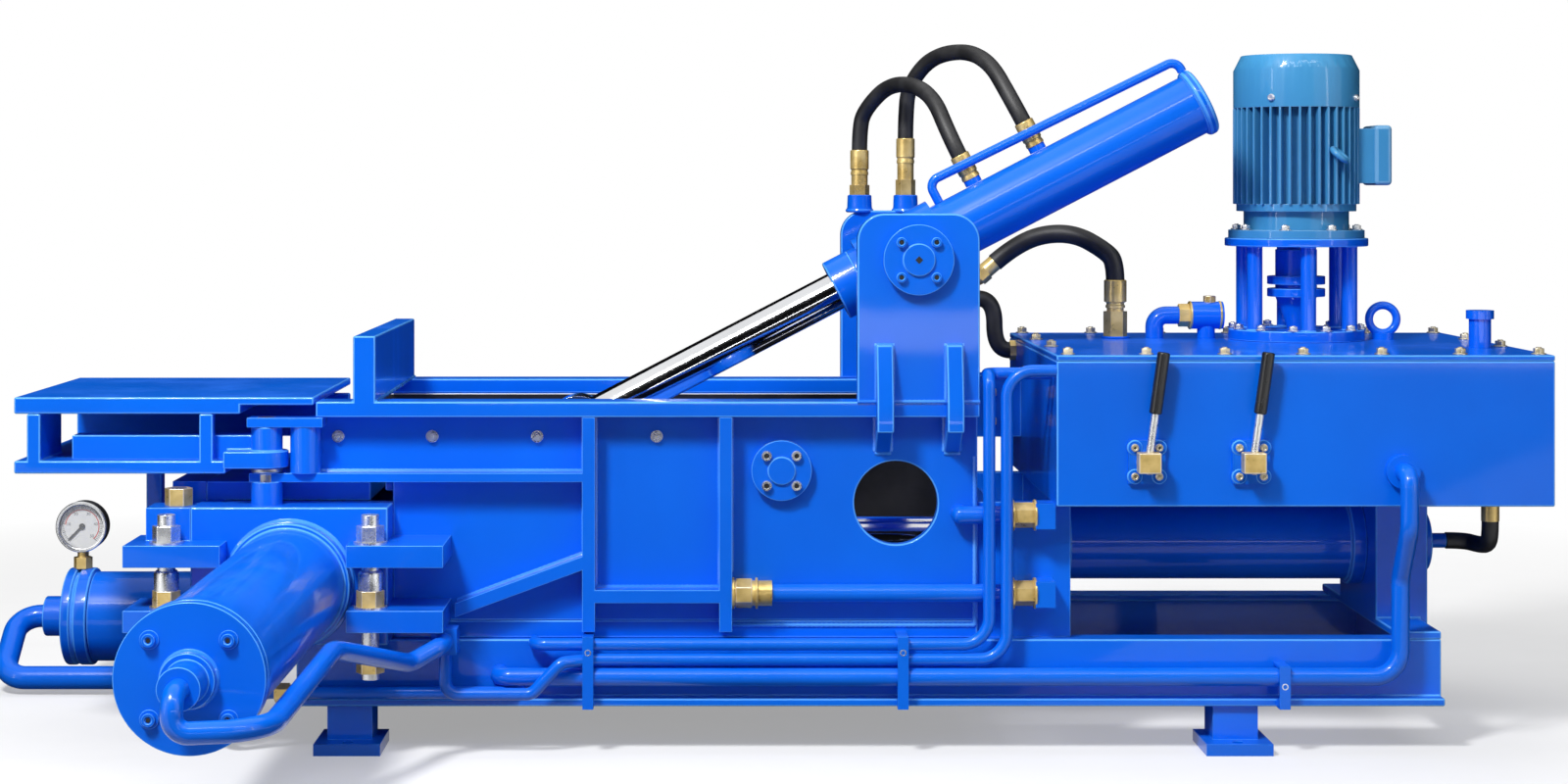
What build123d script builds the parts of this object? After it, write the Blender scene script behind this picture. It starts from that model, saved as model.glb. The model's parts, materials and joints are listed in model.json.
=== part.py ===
from build123d import *
import math
import os

# Hydraulic scrap baler. X runs along the press to the right, Y runs to the back, Z is up.
# The origin is the middle of the four anchor holes, on the floor. Lengths are millimetres.

os.makedirs("parts", exist_ok=True)

# Fits and cuts
overrun = 4.0
run_gap = 0.3
slide_gap = 5.0
pin_gap = 0.05
weld_gap = 0.4

# Press box
body_width = 720.0
press_left = -974.0
press_right = 382.0
rail_top = 716.0
rail_thick = 32.0
wall_overhang = 50.0
wall_thick = 30.0
floor_top = 262.0
floor_thick = 36.0
strip_bottom = 570.0
side_x = -1022.0
side_z = 349.0
bale_half = 150.0
end_wall = 40.0
roof_thick = 40.0
roof_bottom = 505.0
head_half = 200.0
head_depth = 120.0
window_x = 214.0
window_z = 504.0
window_radius = 86.0

# Base and feet
base_left = -1018.0
base_right = 1332.0
base_bottom = 94.0
web_thick = 20.0
flange_reach = 30.0
flange_inner = 60.0
flange_thick = 16.0
cross_shares = (0.0, 0.23, 0.46, 0.62, 1.0)
foot_x = 906.0
foot_column = 92.0
foot_wall = 10.0
foot_plate_width = 136.0
foot_plate_inner = 60.0
foot_plate_outer = 95.0
foot_plate_thick = 24.0
anchor_reach = 72.0
anchor_radius = 11.0

# Wall stiffeners
rib_thick = 26.0
rib_depth = 50.0
rib_first = -417.0
rib_second = -137.0
rib_foot = 246.0
shelf_left = -1110.0
shelf_thick = 18.0
bar_height = 26.0
bar_z = 318.0
brace_reach = 260.0
brace_thick = 28.0
brace_drop = 96.0
brace_top = 400.0

# Upright stop plate across the rails
stop_x = -875.0
stop_thick = 46.0
stop_height = 134.0

# Towers and lid pivot
tower_left = 132.0
tower_top = 1100.0
tower_thick = 40.0
tower_corner = 56.0
trunnion_x = 256.0
trunnion_z = 1006.0
trunnion_radius = 45.0
gusset_thick = 34.0
gusset_reach = 44.0
gusset_top = 832.0
gusset_tip = 14.0
gusset_low = 656.0
gusset_foot = 606.0
gusset_shares = (0.22, 0.79)
cap_thick = 20.0
trunnion_cap_radius = 72.0
pivot_cap_radius = 62.0
cap_boss_share = 0.45
cap_boss_thick = 6.0
cap_bolt_share = 0.7
cap_bolt_radius = 9.0
cap_bolt_height = 8.0
pivot_x = -22.0
pivot_z = 572.0
pivot_radius = 35.0

# Lid and its cylinder
lid_left = -842.0
lid_thick = 25.0
lid_top = 550.0
lid_hub_radius = 54.0
lid_rib_height = 60.0
lid_rib_thick = 36.0
lid_rib_share = 0.72
lid_angle = 27.5
lid_reach = 800.0
open_pivot_gap = 19.3
lid_pin_radius = 22.0
eye_radius = 66.0
eye_width = 88.0
clevis_thick = 32.0
clevis_gap = 4.0
lid_rod_radius = 42.0
lid_barrel_radius = 67.5
lid_bore_radius = 56.0
lid_barrel_front = 110.0
lid_barrel_rear = 706.0
lid_sleeve_radius = 84.0
lid_sleeve_half = 92.0
lid_gland_length = 60.0
lid_cap_radius = 76.0
lid_cap_thick = 26.0
lid_piston_at = 150.0
piston_width = 50.0

# Main cylinder and ram
main_z = 385.0
main_rod_radius = 56.0
main_barrel_radius = 82.0
main_bore_radius = 70.0
main_barrel_left = 575.0
main_ring_radius = 93.0
main_ring_width = 30.0
main_piston_x = 860.0
ram_face = -660.0
ram_tail = -60.0
ram_top = 498.0
ram_wall = 30.0
end_block_wall = 30.0
end_block_inset = 10.0
column_left = 1240.0
column_right = 1350.0
column_half = 160.0
column_plate = 16.0
rear_cap_radius = 64.0
rear_cap_length = 38.0
rear_port_radius = 16.0
rear_port_length = 44.0

# Tank
tank_left = 536.0
tank_right = 1550.0
tank_out_front = 20.0
tank_out_back = 100.0
tank_bottom = 504.0
tank_top = 812.0
tank_wall = 10.0
tank_lid_thick = 12.0
tank_bolt_radius = 9.0
tank_bolt_height = 9.0
tank_bolt_inset = 26.0
tank_bolt_columns = 7
tank_bolt_rows = 4

# Motor, stand and pump drive
motor_x = 1150.0
motor_y = 194.0
stand_ring_radius = 150.0
stand_ring_thick = 24.0
stand_columns = 6
stand_column_radius = 17.0
stand_column_circle = 122.0
stand_top = 1040.0
stand_plate_thick = 18.0
stand_plate_radius = 158.0
stand_bore = 70.0
motor_flange_radius = 150.0
motor_flange_thick = 18.0
motor_shield_radius = 116.0
motor_shield_height = 42.0
motor_ring_radius = 132.0
motor_ring_height = 16.0
motor_body_radius = 112.0
motor_body_height = 215.0
fin_count = 40
fin_thick = 5.0
fin_reach = 25.0
cowl_radius = 139.0
cowl_height = 118.0
cowl_bevel = 34.0
cowl_wall = 4.0
box_width = 56.0
box_height = 122.0
box_depth = 110.0
shaft_radius = 19.0
hub_radius = 46.0
hub_height = 60.0
disc_radius = 64.0
disc_height = 46.0
taper_height = 74.0
pump_radius = 70.0
pump_height = 22.0

# Tank fittings
breather_inset = 81.0
breather_y = -131.0
breather_radius = 23.0
breather_height = 62.0
breather_cap_radius = 29.0
breather_cap_height = 18.0
eyebolt_x = 1345.0
eyebolt_y = 194.0
eyebolt_ring = 31.0
eyebolt_wire = 9.0
eyebolt_collar = 24.0
eyebolt_stem = 14.0
valve_x = 837.0
valve_y = 230.0
valve_pipe_radius = 20.0
valve_rise = 52.0
valve_run = 54.0
valve_nut_length = 26.0
valve_nut_radius = 26.0
valve_body_length = 74.0
valve_body_radius = 31.0
plug_radius = 14.0
plug_length = 14.0
plug_drop = 282.0
lever_xs = (718.0, 930.0)
lever_z = 596.0
lever_plate_width = 74.0
lever_plate_height = 88.0
lever_plate_thick = 10.0
lever_boss_radius = 22.0
lever_hub_length = 34.0
lever_rod_radius = 8.0
lever_rod_length = 100.0
lever_grip_radius = 13.0
lever_grip_length = 126.0
lever_lean = 8.0
lever_bolt_radius = 7.0
lever_bolt_height = 6.0

# Side cylinder and ram
side_barrel_radius = 117.0
side_bore_radius = 98.0
side_collar_radius = 128.0
side_collar_length = 36.0
side_barrel_length = 975.0
side_cap_radius = 126.0
side_cap_thick = 56.0
side_groove = 5.0
side_boss_radius = 46.0
side_boss_length = 22.0
side_neck_radius = 36.0
side_neck_length = 68.0
side_bolt_circle = 92.0
side_rod_radius = 60.0
side_platen_thick = 60.0
side_piston_back = 760.0

# Clamp lugs and tie bolts of the side cylinder
lug_reach = 320.0
lug_inner = 126.0
lug_depth = 80.0
lug_thick = 44.0
lug_upper = 394.0
lug_lower = 264.0
tie_right = 170.0
tie_left = 240.0
tie_back = 40.0
tie_radius = 18.0
tie_bottom = 165.0
tie_top = 496.0
nut_flats = 50.0
nut_height = 36.0
low_nut_z = 178.0
side_block_height = 66.0
side_block_width = 90.0
side_nut_inset = 32.0
side_arm_length = 180.0
side_arm_width = 70.0

# Bale gate and its cylinder
gate_thick = 30.0
gate_margin_left = 18.0
gate_margin_right = 27.0
gate_bottom = 236.0
gate_top = 540.0
gate_cyl_out = 50.0
gate_cyl_z = 154.0
gate_barrel_radius = 103.0
gate_bore_radius = 88.0
gate_barrel_left = -1600.0
gate_bracket_thick = 33.0
gate_bracket_reach = 90.0
gate_bracket_margin = 14.0
gate_bracket_top = 330.0
gate_flange_radius = 112.0
gate_flange_length = 60.0
gate_groove = 8.0
gate_boss_radius = 46.0
gate_boss_length = 56.0
gate_rod_radius = 30.0
gate_piston_x = -1598.0
gate_lug_length = 40.0
gate_lug_margin = 40.0
gate_lug_low = 262.0
gate_lug_top = 330.0
gauge_radius = 58.0
gauge_depth = 44.0
gauge_rim = 6.0
gauge_rise = 98.0
gauge_hex_radius = 22.0
gauge_hex_height = 26.0
gauge_neck_radius = 13.0
needle_length = 44.0
needle_width = 5.0
needle_thick = 3.0
needle_hub = 7.0
needle_rest = 45.0

# Swing table and its hinge
table_left = -1590.0
table_right = -978.0
table_step = -1128.0
table_back = 200.0
table_top = 725.0
table_thick = 34.0
tongue_thick = 16.0
table_base_right = -1158.0
table_base_bottom = 569.0
table_base_thick = 26.0
table_post_width = 28.0
table_post_depth = 180.0
table_post_inset = 26.0
table_skirt_thick = 20.0
table_bar_height = 50.0
table_bar_width = 60.0
table_bar_left = -1478.0
table_leg_x = -1363.0
table_leg_y = -60.0
table_leg_width = 34.0
table_leg_length = 110.0
hinge_x = -1076.0
hinge_back = 17.0
hinge_pin_radius = 20.0
hinge_boss_radius = 32.0
hinge_lug_radius = 44.0
hinge_lug_bottom = 582.0
hinge_lug_thick = 34.0
hinge_plate_thick = 19.0
hinge_plate_left = -1112.0
hinge_plate_right = -958.0
hinge_tube_x = -997.0
hinge_tube_radius = 31.0

# Pipes
pipe_radius = 12.5
wide_pipe_radius = 18.5
lid_pipe_radius = 10.0
lid_pipe_bend = 22.0
lid_pipe_start = 118.0
lid_pipe_rise = 50.0
lid_pipe_back_rise = 28.0
pipe_bend = 55.0
short_bend = 26.0
pipe_stand = 8.0
first_pipe_x = 400.0
second_pipe_x = 436.0
first_pipe_back = 63.0
first_pipe_top = 770.0
second_pipe_top = 780.0
run_levels = (222.0, 192.0, 156.0, 124.0)
first_run_end = -528.0
loop_right = -470.0
loop_low = 128.0
loop_slope = 60.0
loop_out = 38.0
outlet_x = 1238.0
outlet_z = 576.0
outlet_reach = 46.0
outlet_drop = 110.0
outlet_flange_radius = 34.0
outlet_flange_thick = 14.0
outlet_end = -600.0
side_pipe_out = 52.0
side_pipe_drop = 60.0
side_pipe_step = 30.0
side_pipe_lane = 148.0
side_pipe_turn = 410.0
side_pipe_back = 60.0
side_pipe_dip = 30.0
side_pipe_rise = 70.0
side_pipe_bends = (28.0, 28.0, 100.0, 180.0, 40.0, 34.0)
gate_pipe_radius = 26.0
gate_pipe_bend = 52.0
gate_pipe_out = 63.0
gate_pipe_forward = 150.0
gate_pipe_floor = 38.0
gate_pipe_step = -1420.0
gate_pipe_turn = -1360.0
gate_pipe_front = -1150.0
gate_pipe_climb = 60.0
gate_pipe_end = -560.0
union_left = -1055.0
union_length = 30.0
union_radius = 20.0
port_low_z = 322.0
port_high_z = 482.0
port_left = -124.0
port_fitting = 82.0
port_elbow_x = 345.0
port_nut_left = 452.0
port_nut_length = 44.0
port_nut_radius = 26.0
port_boss_length = 40.0
port_boss_half = 26.0
junction_x = -705.0
junction_half = 26.0
clip_xs = (-417.0, 223.0)
low_clip_x = 998.0
clip_thick = 6.0
clip_width = 22.0

# Hoses
hose_radius = 22.5
hose_bend = 32.0
hose_fit_radius = 19.0
hose_fit_length = 50.0
hose_hex_radius = 23.0
ferrule_share = 0.45
tower_fit_xs = (176.0, 282.0)
tower_fit_heights = (131.0, 158.0)
lid_port_alongs = (207.0, 365.0)
lid_port_across = 25.0
lid_port_rise = 60.0
lid_port_radius = 19.0
hose_block_length = 48.0
hose_block_height = 100.0
hose_block_z = 922.0
hose_stub_length = 20.0
hose_fit_lean = 41.0
hose_drop_out = 37.0
tank_fit_x = 749.0
tank_fit_y = 232.0
tank_fit_height = 122.0
tank_fit_radius = 27.0
side_fit_z = 778.0
side_fit_length = 14.0
drop_fit_x = 1500.0
drop_fit_y = -100.0
drop_fit_length = 64.0
hose_bend_share = 0.45

# Places that several pieces share
half = body_width / 2
wall_out = half - wall_overhang
wall_in = wall_out - wall_thick
base_top = floor_top - floor_thick
rail_bottom = rail_top - rail_thick
web_out = half - flange_reach
web_in = web_out - web_thick
flange_in = web_out - flange_inner
foot_y = (web_out + flange_in) / 2
chamber_left = side_x - bale_half
chamber_right = side_x + bale_half
box_left = chamber_left - end_wall
end_block_half = wall_out - end_block_inset
tank_front = -half - tank_out_front
tank_back = half + tank_out_back
breather_x = tank_right - breather_inset
gate_cyl_y = half + gate_cyl_out
gate_bracket_front = wall_out - gate_bracket_reach
table_front = -half
hinge_y = -half + hinge_back
pipe_lane = -half - pipe_stand
head_front = -wall_in - head_depth
head_left = side_x - head_half
head_right = side_x + head_half
roof_top = roof_bottom + roof_thick


def block(x_span, y_span, z_span, mode=Mode.ADD):
    """Add a box that fills three spans, each a pair (low, high)."""
    spans = (x_span, y_span, z_span)
    middle = tuple((low + high) / 2 for low, high in spans)
    with Locations(middle):
        Box(*(high - low for low, high in spans), mode=mode)


def bar(start, end, radius, mode=Mode.ADD):
    """Add a round bar from one point to another."""
    run = Vector(*end) - Vector(*start)
    with Locations(Plane(origin=start, z_dir=run).location):
        Cylinder(radius, run.length, align=(Align.CENTER, Align.CENTER, Align.MIN), mode=mode)


def tube(start, end, radius, bore):
    """Add a round bar with a bore right through it."""
    run = (Vector(*end) - Vector(*start)).normalized() * overrun
    bar(start, end, radius)
    bar(Vector(*start) - run, Vector(*end) + run, bore, mode=Mode.SUBTRACT)


def nut(centre, flats, height, bore):
    """Add a hexagon nut that stands on a point, with its bore along Z."""
    with BuildSketch(Plane(origin=centre)) as outline:
        RegularPolygon(flats / 2, side_count=6, major_radius=False)
        Circle(bore, mode=Mode.SUBTRACT)
    extrude(outline.sketch, amount=height)


def hexagon(start, end, radius):
    """Add a hexagon bar from one point to another, inside a circle of the radius."""
    run = Vector(*end) - Vector(*start)
    with BuildSketch(Plane(origin=start, z_dir=run)) as outline:
        RegularPolygon(radius, side_count=6)
    extrude(outline.sketch, amount=run.length)


def pipe_run(points, bends, radius):
    """Sweep a round section along straight runs joined by tangent arcs."""
    with BuildLine() as route:
        FilletPolyline(*points, radius=bends)
    with BuildSketch(Plane(origin=route.line @ 0, z_dir=route.line % 0)) as section:
        Circle(radius)
    sweep(section.sketch, path=route.wire())


def soft_bends(points):
    """Give each corner of a route an arc that takes a share of its shorter run."""
    bends = []
    for before, corner, after in zip(points, points[1:], points[2:]):
        run_in = Vector(*corner) - Vector(*before)
        run_out = Vector(*after) - Vector(*corner)
        turn = math.radians(run_in.get_angle(run_out))
        shorter = min(run_in.length, run_out.length)
        bends.append(hose_bend_share * shorter / math.tan(turn / 2))
    return bends


def keep(piece, name):
    """Label a finished piece and write it to its own file."""
    piece.part.label = name
    export_step(piece.part, "parts/" + name + ".step")


# Base frame: two long channels with wide feet flanges, and cross plates with a root gap for their welds
with BuildPart() as base_frame:
    with BuildSketch(Plane.YZ.offset(base_left)):
        with BuildLine():
            Polyline(
                (-half, base_bottom),
                (-flange_in, base_bottom),
                (-flange_in, base_bottom + flange_thick),
                (-web_in, base_bottom + flange_thick),
                (-web_in, base_top - flange_thick),
                (-flange_in, base_top - flange_thick),
                (-flange_in, base_top),
                (-web_out, base_top),
                (-web_out, base_bottom + flange_thick),
                (-half, base_bottom + flange_thick),
                close=True,
            )
        make_face()
    extrude(amount=base_right - base_left)
    mirror(about=Plane.XZ)
    for share in cross_shares:
        cross_left = base_left + share * (base_right - base_left - web_thick)
        cross_span = (cross_left, cross_left + web_thick)
        cross_y = (-web_in + weld_gap, web_in - weld_gap)
        cross_z = (base_bottom + flange_thick + weld_gap, base_top - flange_thick - weld_gap)
        block(cross_span, cross_y, cross_z)
keep(base_frame, "base_frame")

# Four feet: square tube columns on anchor plates
with BuildPart() as feet:
    for side_along in (-1, 1):
        for side_across in (-1, 1):
            x = side_along * foot_x
            y = side_across * foot_y
            inner = side_across * (foot_y - foot_plate_inner)
            outer = side_across * (foot_y + foot_plate_outer)
            plate_y = (min(inner, outer), max(inner, outer))
            plate_x = (x - foot_plate_width / 2, x + foot_plate_width / 2)
            block(plate_x, plate_y, (0, foot_plate_thick))
            with Locations((x, y, (foot_plate_thick + base_bottom) / 2)):
                Box(foot_column, foot_column, base_bottom - foot_plate_thick)
            with Locations((x, y, (foot_plate_thick + base_bottom) / 2)):
                inside = foot_column - foot_wall - foot_wall
                Box(inside, inside, base_bottom - foot_plate_thick, mode=Mode.SUBTRACT)
            hole_y = side_across * (foot_y + anchor_reach)
            hole_low = (x, hole_y, -overrun)
            bar(hole_low, (x, hole_y, foot_plate_thick + overrun), anchor_radius, mode=Mode.SUBTRACT)
keep(feet, "feet")

# Floor of the press box, wide under the walls and narrower in the bale chamber
with BuildPart() as floor_plate:
    block((head_right, press_right), (-wall_out, wall_out), (base_top, floor_top))
    block((box_left, head_right), (-wall_in, wall_out), (base_top, floor_top))
keep(floor_plate, "floor_plate")


def side_wall(low_left, pivot_bore):
    """Add one long wall: a deep plate with a shallow strip at its left end."""
    with BuildSketch(Plane.XZ.offset(wall_in)) as outline:
        with BuildLine():
            Polyline(
                (press_left, strip_bottom),
                (low_left, strip_bottom),
                (low_left, floor_top),
                (press_right, floor_top),
                (press_right, rail_bottom),
                (press_left, rail_bottom),
                close=True,
            )
        make_face()
        with Locations((pivot_x, pivot_z)):
            Circle(pivot_bore, mode=Mode.SUBTRACT)
    extrude(outline.sketch, amount=wall_thick)


# Front wall with its round sight hole, and the rear wall, which leaves the bale outlet free
with BuildPart() as front_wall:
    side_wall(head_right, pivot_radius)
    sight_front = (window_x, -wall_out - overrun, window_z)
    bar(sight_front, (window_x, -wall_in + overrun, window_z), window_radius, mode=Mode.SUBTRACT)
keep(front_wall, "front_wall")

with BuildPart() as rear_wall:
    side_wall(chamber_right, pivot_radius)
    mirror(about=Plane.XZ, mode=Mode.REPLACE)
keep(rear_wall, "rear_wall")

# Top rails along both walls, with the stop plate that stands across them
with BuildPart() as top_rails:
    for side in (-1, 1):
        across = sorted((side * half, side * wall_in))
        block((press_left, press_right), across, (rail_bottom, rail_top))
    stop_span = (stop_x - stop_thick / 2, stop_x + stop_thick / 2)
    block(stop_span, (-half, half), (rail_top, rail_top + stop_height))
keep(top_rails, "top_rails")


# Ribs, shelves and bars on both walls; the front shelf runs on to carry the table hinge on its foot
rib_front = -wall_out - rib_depth
shelf_bottom = strip_bottom - shelf_thick
hinge_plate_bottom = rail_bottom - hinge_plate_thick
with BuildPart() as wall_ribs:
    outside = (rib_front, -wall_out)
    for rib_x in (rib_first, rib_second):
        rib = (rib_x - rib_thick / 2, rib_x + rib_thick / 2)
        block(rib, outside, (rib_foot, rail_bottom))
    brace_x = rib_first - rib_thick / 2
    block((press_left, brace_x), outside, (shelf_bottom, strip_bottom))
    between = (rib_first + rib_thick / 2, rib_second - rib_thick / 2)
    block(between, outside, (bar_z - bar_height / 2, bar_z + bar_height / 2))
    mirror(about=Plane.XZ)
    block((shelf_left, press_left), (rib_front, -wall_in), (shelf_bottom, strip_bottom))
    with BuildSketch(Plane.XZ.offset(wall_out)):
        with BuildLine():
            Polyline(
                (brace_x, brace_top),
                (brace_x, brace_top - brace_thick),
                (brace_x - brace_reach, brace_top - brace_drop - brace_thick),
                (brace_x - brace_reach, brace_top - brace_drop),
                close=True,
            )
        make_face()
    extrude(amount=rib_depth)
    hinge_deep = (hinge_y - hinge_boss_radius, hinge_y + hinge_boss_radius)
    block((hinge_plate_left, hinge_plate_right), hinge_deep, (hinge_plate_bottom, rail_bottom))
    tube_foot = (hinge_tube_x, hinge_y, strip_bottom)
    bar(tube_foot, (hinge_tube_x, hinge_y, hinge_plate_bottom), hinge_tube_radius)
    bar((hinge_x, hinge_y, roof_bottom), (hinge_x, hinge_y, shelf_bottom), hinge_boss_radius)
    pin_low = (hinge_x, hinge_y, shelf_bottom - overrun)
    bar(pin_low, (hinge_x, hinge_y, rail_bottom + overrun), hinge_pin_radius, mode=Mode.SUBTRACT)
keep(wall_ribs, "wall_ribs")

# Bale chamber: clamp head in front, then end plate, roof and gate cylinder bracket in one weldment
with BuildPart() as side_head:
    block((head_left, head_right), (head_front, -wall_in), (base_top, roof_bottom))
    bore_front = (side_x, head_front - overrun, side_z)
    bar(bore_front, (side_x, -wall_in + overrun, side_z), side_rod_radius + slide_gap, mode=Mode.SUBTRACT)
keep(side_head, "side_head")

bracket_left = box_left - gate_bracket_thick
with BuildPart() as chamber_shell:
    block((box_left, chamber_left), (-wall_in, wall_out), (floor_top, roof_bottom))
    block((box_left, chamber_right), (-wall_in, wall_out), (roof_bottom, roof_top))
    bracket_y = (gate_bracket_front, gate_cyl_y + gate_barrel_radius + gate_bracket_margin)
    bracket_low = gate_cyl_z - gate_barrel_radius - gate_bracket_margin
    block((bracket_left, box_left), bracket_y, (bracket_low, gate_bracket_top))
    gate_bore_start = (bracket_left - overrun, gate_cyl_y, gate_cyl_z)
    gate_bore_end = (box_left + overrun, gate_cyl_y, gate_cyl_z)
    bar(gate_bore_start, gate_bore_end, gate_rod_radius + run_gap, mode=Mode.SUBTRACT)
keep(chamber_shell, "chamber_shell")

# Towers on the rails: front plate with two gussets that reach down to the wall, and its mirror
with BuildPart() as towers:
    with BuildSketch(Plane.XZ.offset(half - tower_thick)) as tower_outline:
        with BuildLine():
            Polyline(
                (tower_left, rail_top),
                (press_right, rail_top),
                (press_right, tower_top),
                (tower_left, tower_top),
                close=True,
            )
        make_face()
        fillet(tower_outline.vertices().group_by(Axis.Y)[-1], radius=tower_corner)
        with Locations((trunnion_x, trunnion_z)):
            Circle(trunnion_radius + pin_gap, mode=Mode.SUBTRACT)
    extrude(amount=tower_thick)
    for share in gusset_shares:
        gusset_x = tower_left + share * (press_right - tower_left)
        with BuildSketch(Plane.YZ.offset(gusset_x - gusset_thick / 2)):
            with BuildLine():
                Polyline(
                    (-half, gusset_top),
                    (-half, rail_bottom),
                    (-wall_out, rail_bottom),
                    (-wall_out, gusset_foot),
                    (-half - gusset_tip, gusset_low),
                    (-half - gusset_reach, gusset_low),
                    (-half - gusset_reach, rail_top),
                    (-half - gusset_tip, gusset_top),
                    close=True,
                )
            make_face()
        extrude(amount=gusset_thick)
    mirror(about=Plane.XZ)
keep(towers, "towers")


def bearing_cap(x, z, radius, face):
    """Add a front cap with a raised centre and four bolt heads."""
    front = -face - cap_thick
    bar((x, -face, z), (x, front, z), radius)
    bar((x, front, z), (x, front - cap_boss_thick, z), radius * cap_boss_share)
    for quarter in range(4):
        angle = math.radians(45 + 90 * quarter)
        bolt_x = x + radius * cap_bolt_share * math.cos(angle)
        bolt_z = z + radius * cap_bolt_share * math.sin(angle)
        bar((bolt_x, front, bolt_z), (bolt_x, front - cap_bolt_height, bolt_z), cap_bolt_radius)


# Caps over the ends of the trunnions and of the lid shaft
with BuildPart() as bearing_caps:
    bearing_cap(trunnion_x, trunnion_z, trunnion_cap_radius, half)
    bearing_cap(pivot_x, pivot_z, pivot_cap_radius, wall_out)
    mirror(about=Plane.XZ)
keep(bearing_caps, "bearing_caps")

# Lid shaft, fixed in both walls
with BuildPart() as pivot_shaft:
    bar((pivot_x, -wall_out, pivot_z), (pivot_x, wall_out, pivot_z), pivot_radius)
keep(pivot_shaft, "pivot_shaft")

# Lid linkage: the cylinder hangs in the towers and its rod eye pulls the lid
lid_half = wall_in - slide_gap
lid_cos = math.cos(math.radians(lid_angle))
lid_sin = math.sin(math.radians(lid_angle))


def lid_point(along, up, across=0):
    """Give a point by its distance up the lid cylinder's axis, above it and behind it."""
    x = trunnion_x + along * lid_cos - up * lid_sin
    z = trunnion_z + along * lid_sin + up * lid_cos
    return (x, across, z)


eye_x, _, eye_z = lid_point(-lid_reach, 0)

# Lid: a plate on a hub tube, two long ribs and the clevis cheeks for the rod eye
with BuildPart() as lid:
    block((lid_left, pivot_x), (-lid_half, lid_half), (lid_top - lid_thick, lid_top))
    for side in (-1, 1):
        rib_y = side * lid_half * lid_rib_share
        with BuildSketch(Plane.XZ.offset(-rib_y - lid_rib_thick / 2)):
            with BuildLine():
                Polyline(
                    (lid_left, lid_top),
                    (pivot_x, lid_top),
                    (pivot_x, lid_top + lid_rib_height),
                    (lid_left, lid_top + lid_rib_height / 3),
                    close=True,
                )
            make_face()
        extrude(amount=lid_rib_thick)
        cheek_inner = eye_width / 2 + clevis_gap
        cheek_y = side * (cheek_inner + clevis_thick / 2)
        with BuildSketch(Plane.XZ.offset(-cheek_y - clevis_thick / 2)):
            with BuildLine():
                Polyline(
                    (eye_x - eye_radius, lid_top),
                    (eye_x + eye_radius, lid_top),
                    (eye_x + lid_pin_radius * 2, eye_z),
                    (eye_x - lid_pin_radius * 2, eye_z),
                    close=True,
                )
            make_face()
            with Locations((eye_x, eye_z)):
                Circle(lid_pin_radius * 2)
                Circle(lid_pin_radius, mode=Mode.SUBTRACT)
        extrude(amount=clevis_thick)
    bar((pivot_x, -lid_half, pivot_z), (pivot_x, lid_half, pivot_z), lid_hub_radius)
    hub_bore = pivot_radius + pin_gap
    hub_front = (pivot_x, -lid_half - overrun, pivot_z)
    bar(hub_front, (pivot_x, lid_half + overrun, pivot_z), hub_bore, mode=Mode.SUBTRACT)
keep(lid, "lid")

with BuildPart() as lid_pin:
    pin_half = eye_width / 2 + clevis_gap + clevis_thick
    bar((eye_x, -pin_half, eye_z), (eye_x, pin_half, eye_z), lid_pin_radius)
keep(lid_pin, "lid_pin")

# Lid cylinder: barrel with its trunnion sleeve, gland, end cap and oil pipe
with BuildPart() as lid_barrel:
    bar(lid_point(-lid_barrel_front, 0), lid_point(lid_barrel_rear, 0), lid_barrel_radius)
    bar(lid_point(-lid_sleeve_half, 0), lid_point(lid_sleeve_half, 0), lid_sleeve_radius)
    shoulder = half - tower_thick - slide_gap
    stub = half - run_gap
    bar((trunnion_x, -stub, trunnion_z), (trunnion_x, stub, trunnion_z), trunnion_radius)
    shoulder_radius = trunnion_radius + slide_gap
    bar((trunnion_x, -shoulder, trunnion_z), (trunnion_x, shoulder, trunnion_z), shoulder_radius)
    bore_start = lid_point(-lid_barrel_front - overrun, 0)
    bar(bore_start, lid_point(lid_barrel_rear + overrun, 0), lid_bore_radius, mode=Mode.SUBTRACT)
keep(lid_barrel, "lid_barrel")

with BuildPart() as lid_gland:
    gland_start = lid_point(-lid_barrel_front - lid_gland_length, 0)
    gland_bore = lid_rod_radius + run_gap
    tube(gland_start, lid_point(-lid_barrel_front, 0), lid_barrel_radius, gland_bore)
keep(lid_gland, "lid_gland")

with BuildPart() as lid_end_cap:
    cap_end = lid_point(lid_barrel_rear + lid_cap_thick, 0)
    bar(lid_point(lid_barrel_rear, 0), cap_end, lid_cap_radius)
    chamfer(lid_end_cap.edges().filter_by(GeomType.CIRCLE), length=cap_boss_thick)
keep(lid_end_cap, "lid_end_cap")

with BuildPart() as lid_rod:
    bar(lid_point(-lid_reach, 0), lid_point(lid_piston_at, 0), lid_rod_radius)
    piston_start = lid_point(lid_piston_at - piston_width, 0)
    bar(piston_start, lid_point(lid_piston_at, 0), lid_bore_radius - run_gap)
    bar((eye_x, -eye_width / 2, eye_z), (eye_x, eye_width / 2, eye_z), eye_radius)
    eye_bore = lid_pin_radius + open_pivot_gap
    bar((eye_x, -eye_width, eye_z), (eye_x, eye_width, eye_z), eye_bore, mode=Mode.SUBTRACT)
keep(lid_rod, "lid_rod")

# Main press: end block, barrel, column and ram
with BuildPart() as end_block:
    block((press_right, main_barrel_left), (-end_block_half, end_block_half), (base_top, tank_bottom))
    pocket_x = (press_right + end_block_wall, main_barrel_left - end_block_wall)
    pocket_y = end_block_half - end_block_wall
    block(pocket_x, (-pocket_y, pocket_y), (base_top - overrun, tank_bottom + overrun), mode=Mode.SUBTRACT)
    rod_bore_start = (press_right - overrun, 0, main_z)
    rod_bore_end = (main_barrel_left + overrun, 0, main_z)
    bar(rod_bore_start, rod_bore_end, main_rod_radius + run_gap, mode=Mode.SUBTRACT)
keep(end_block, "end_block")

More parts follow.
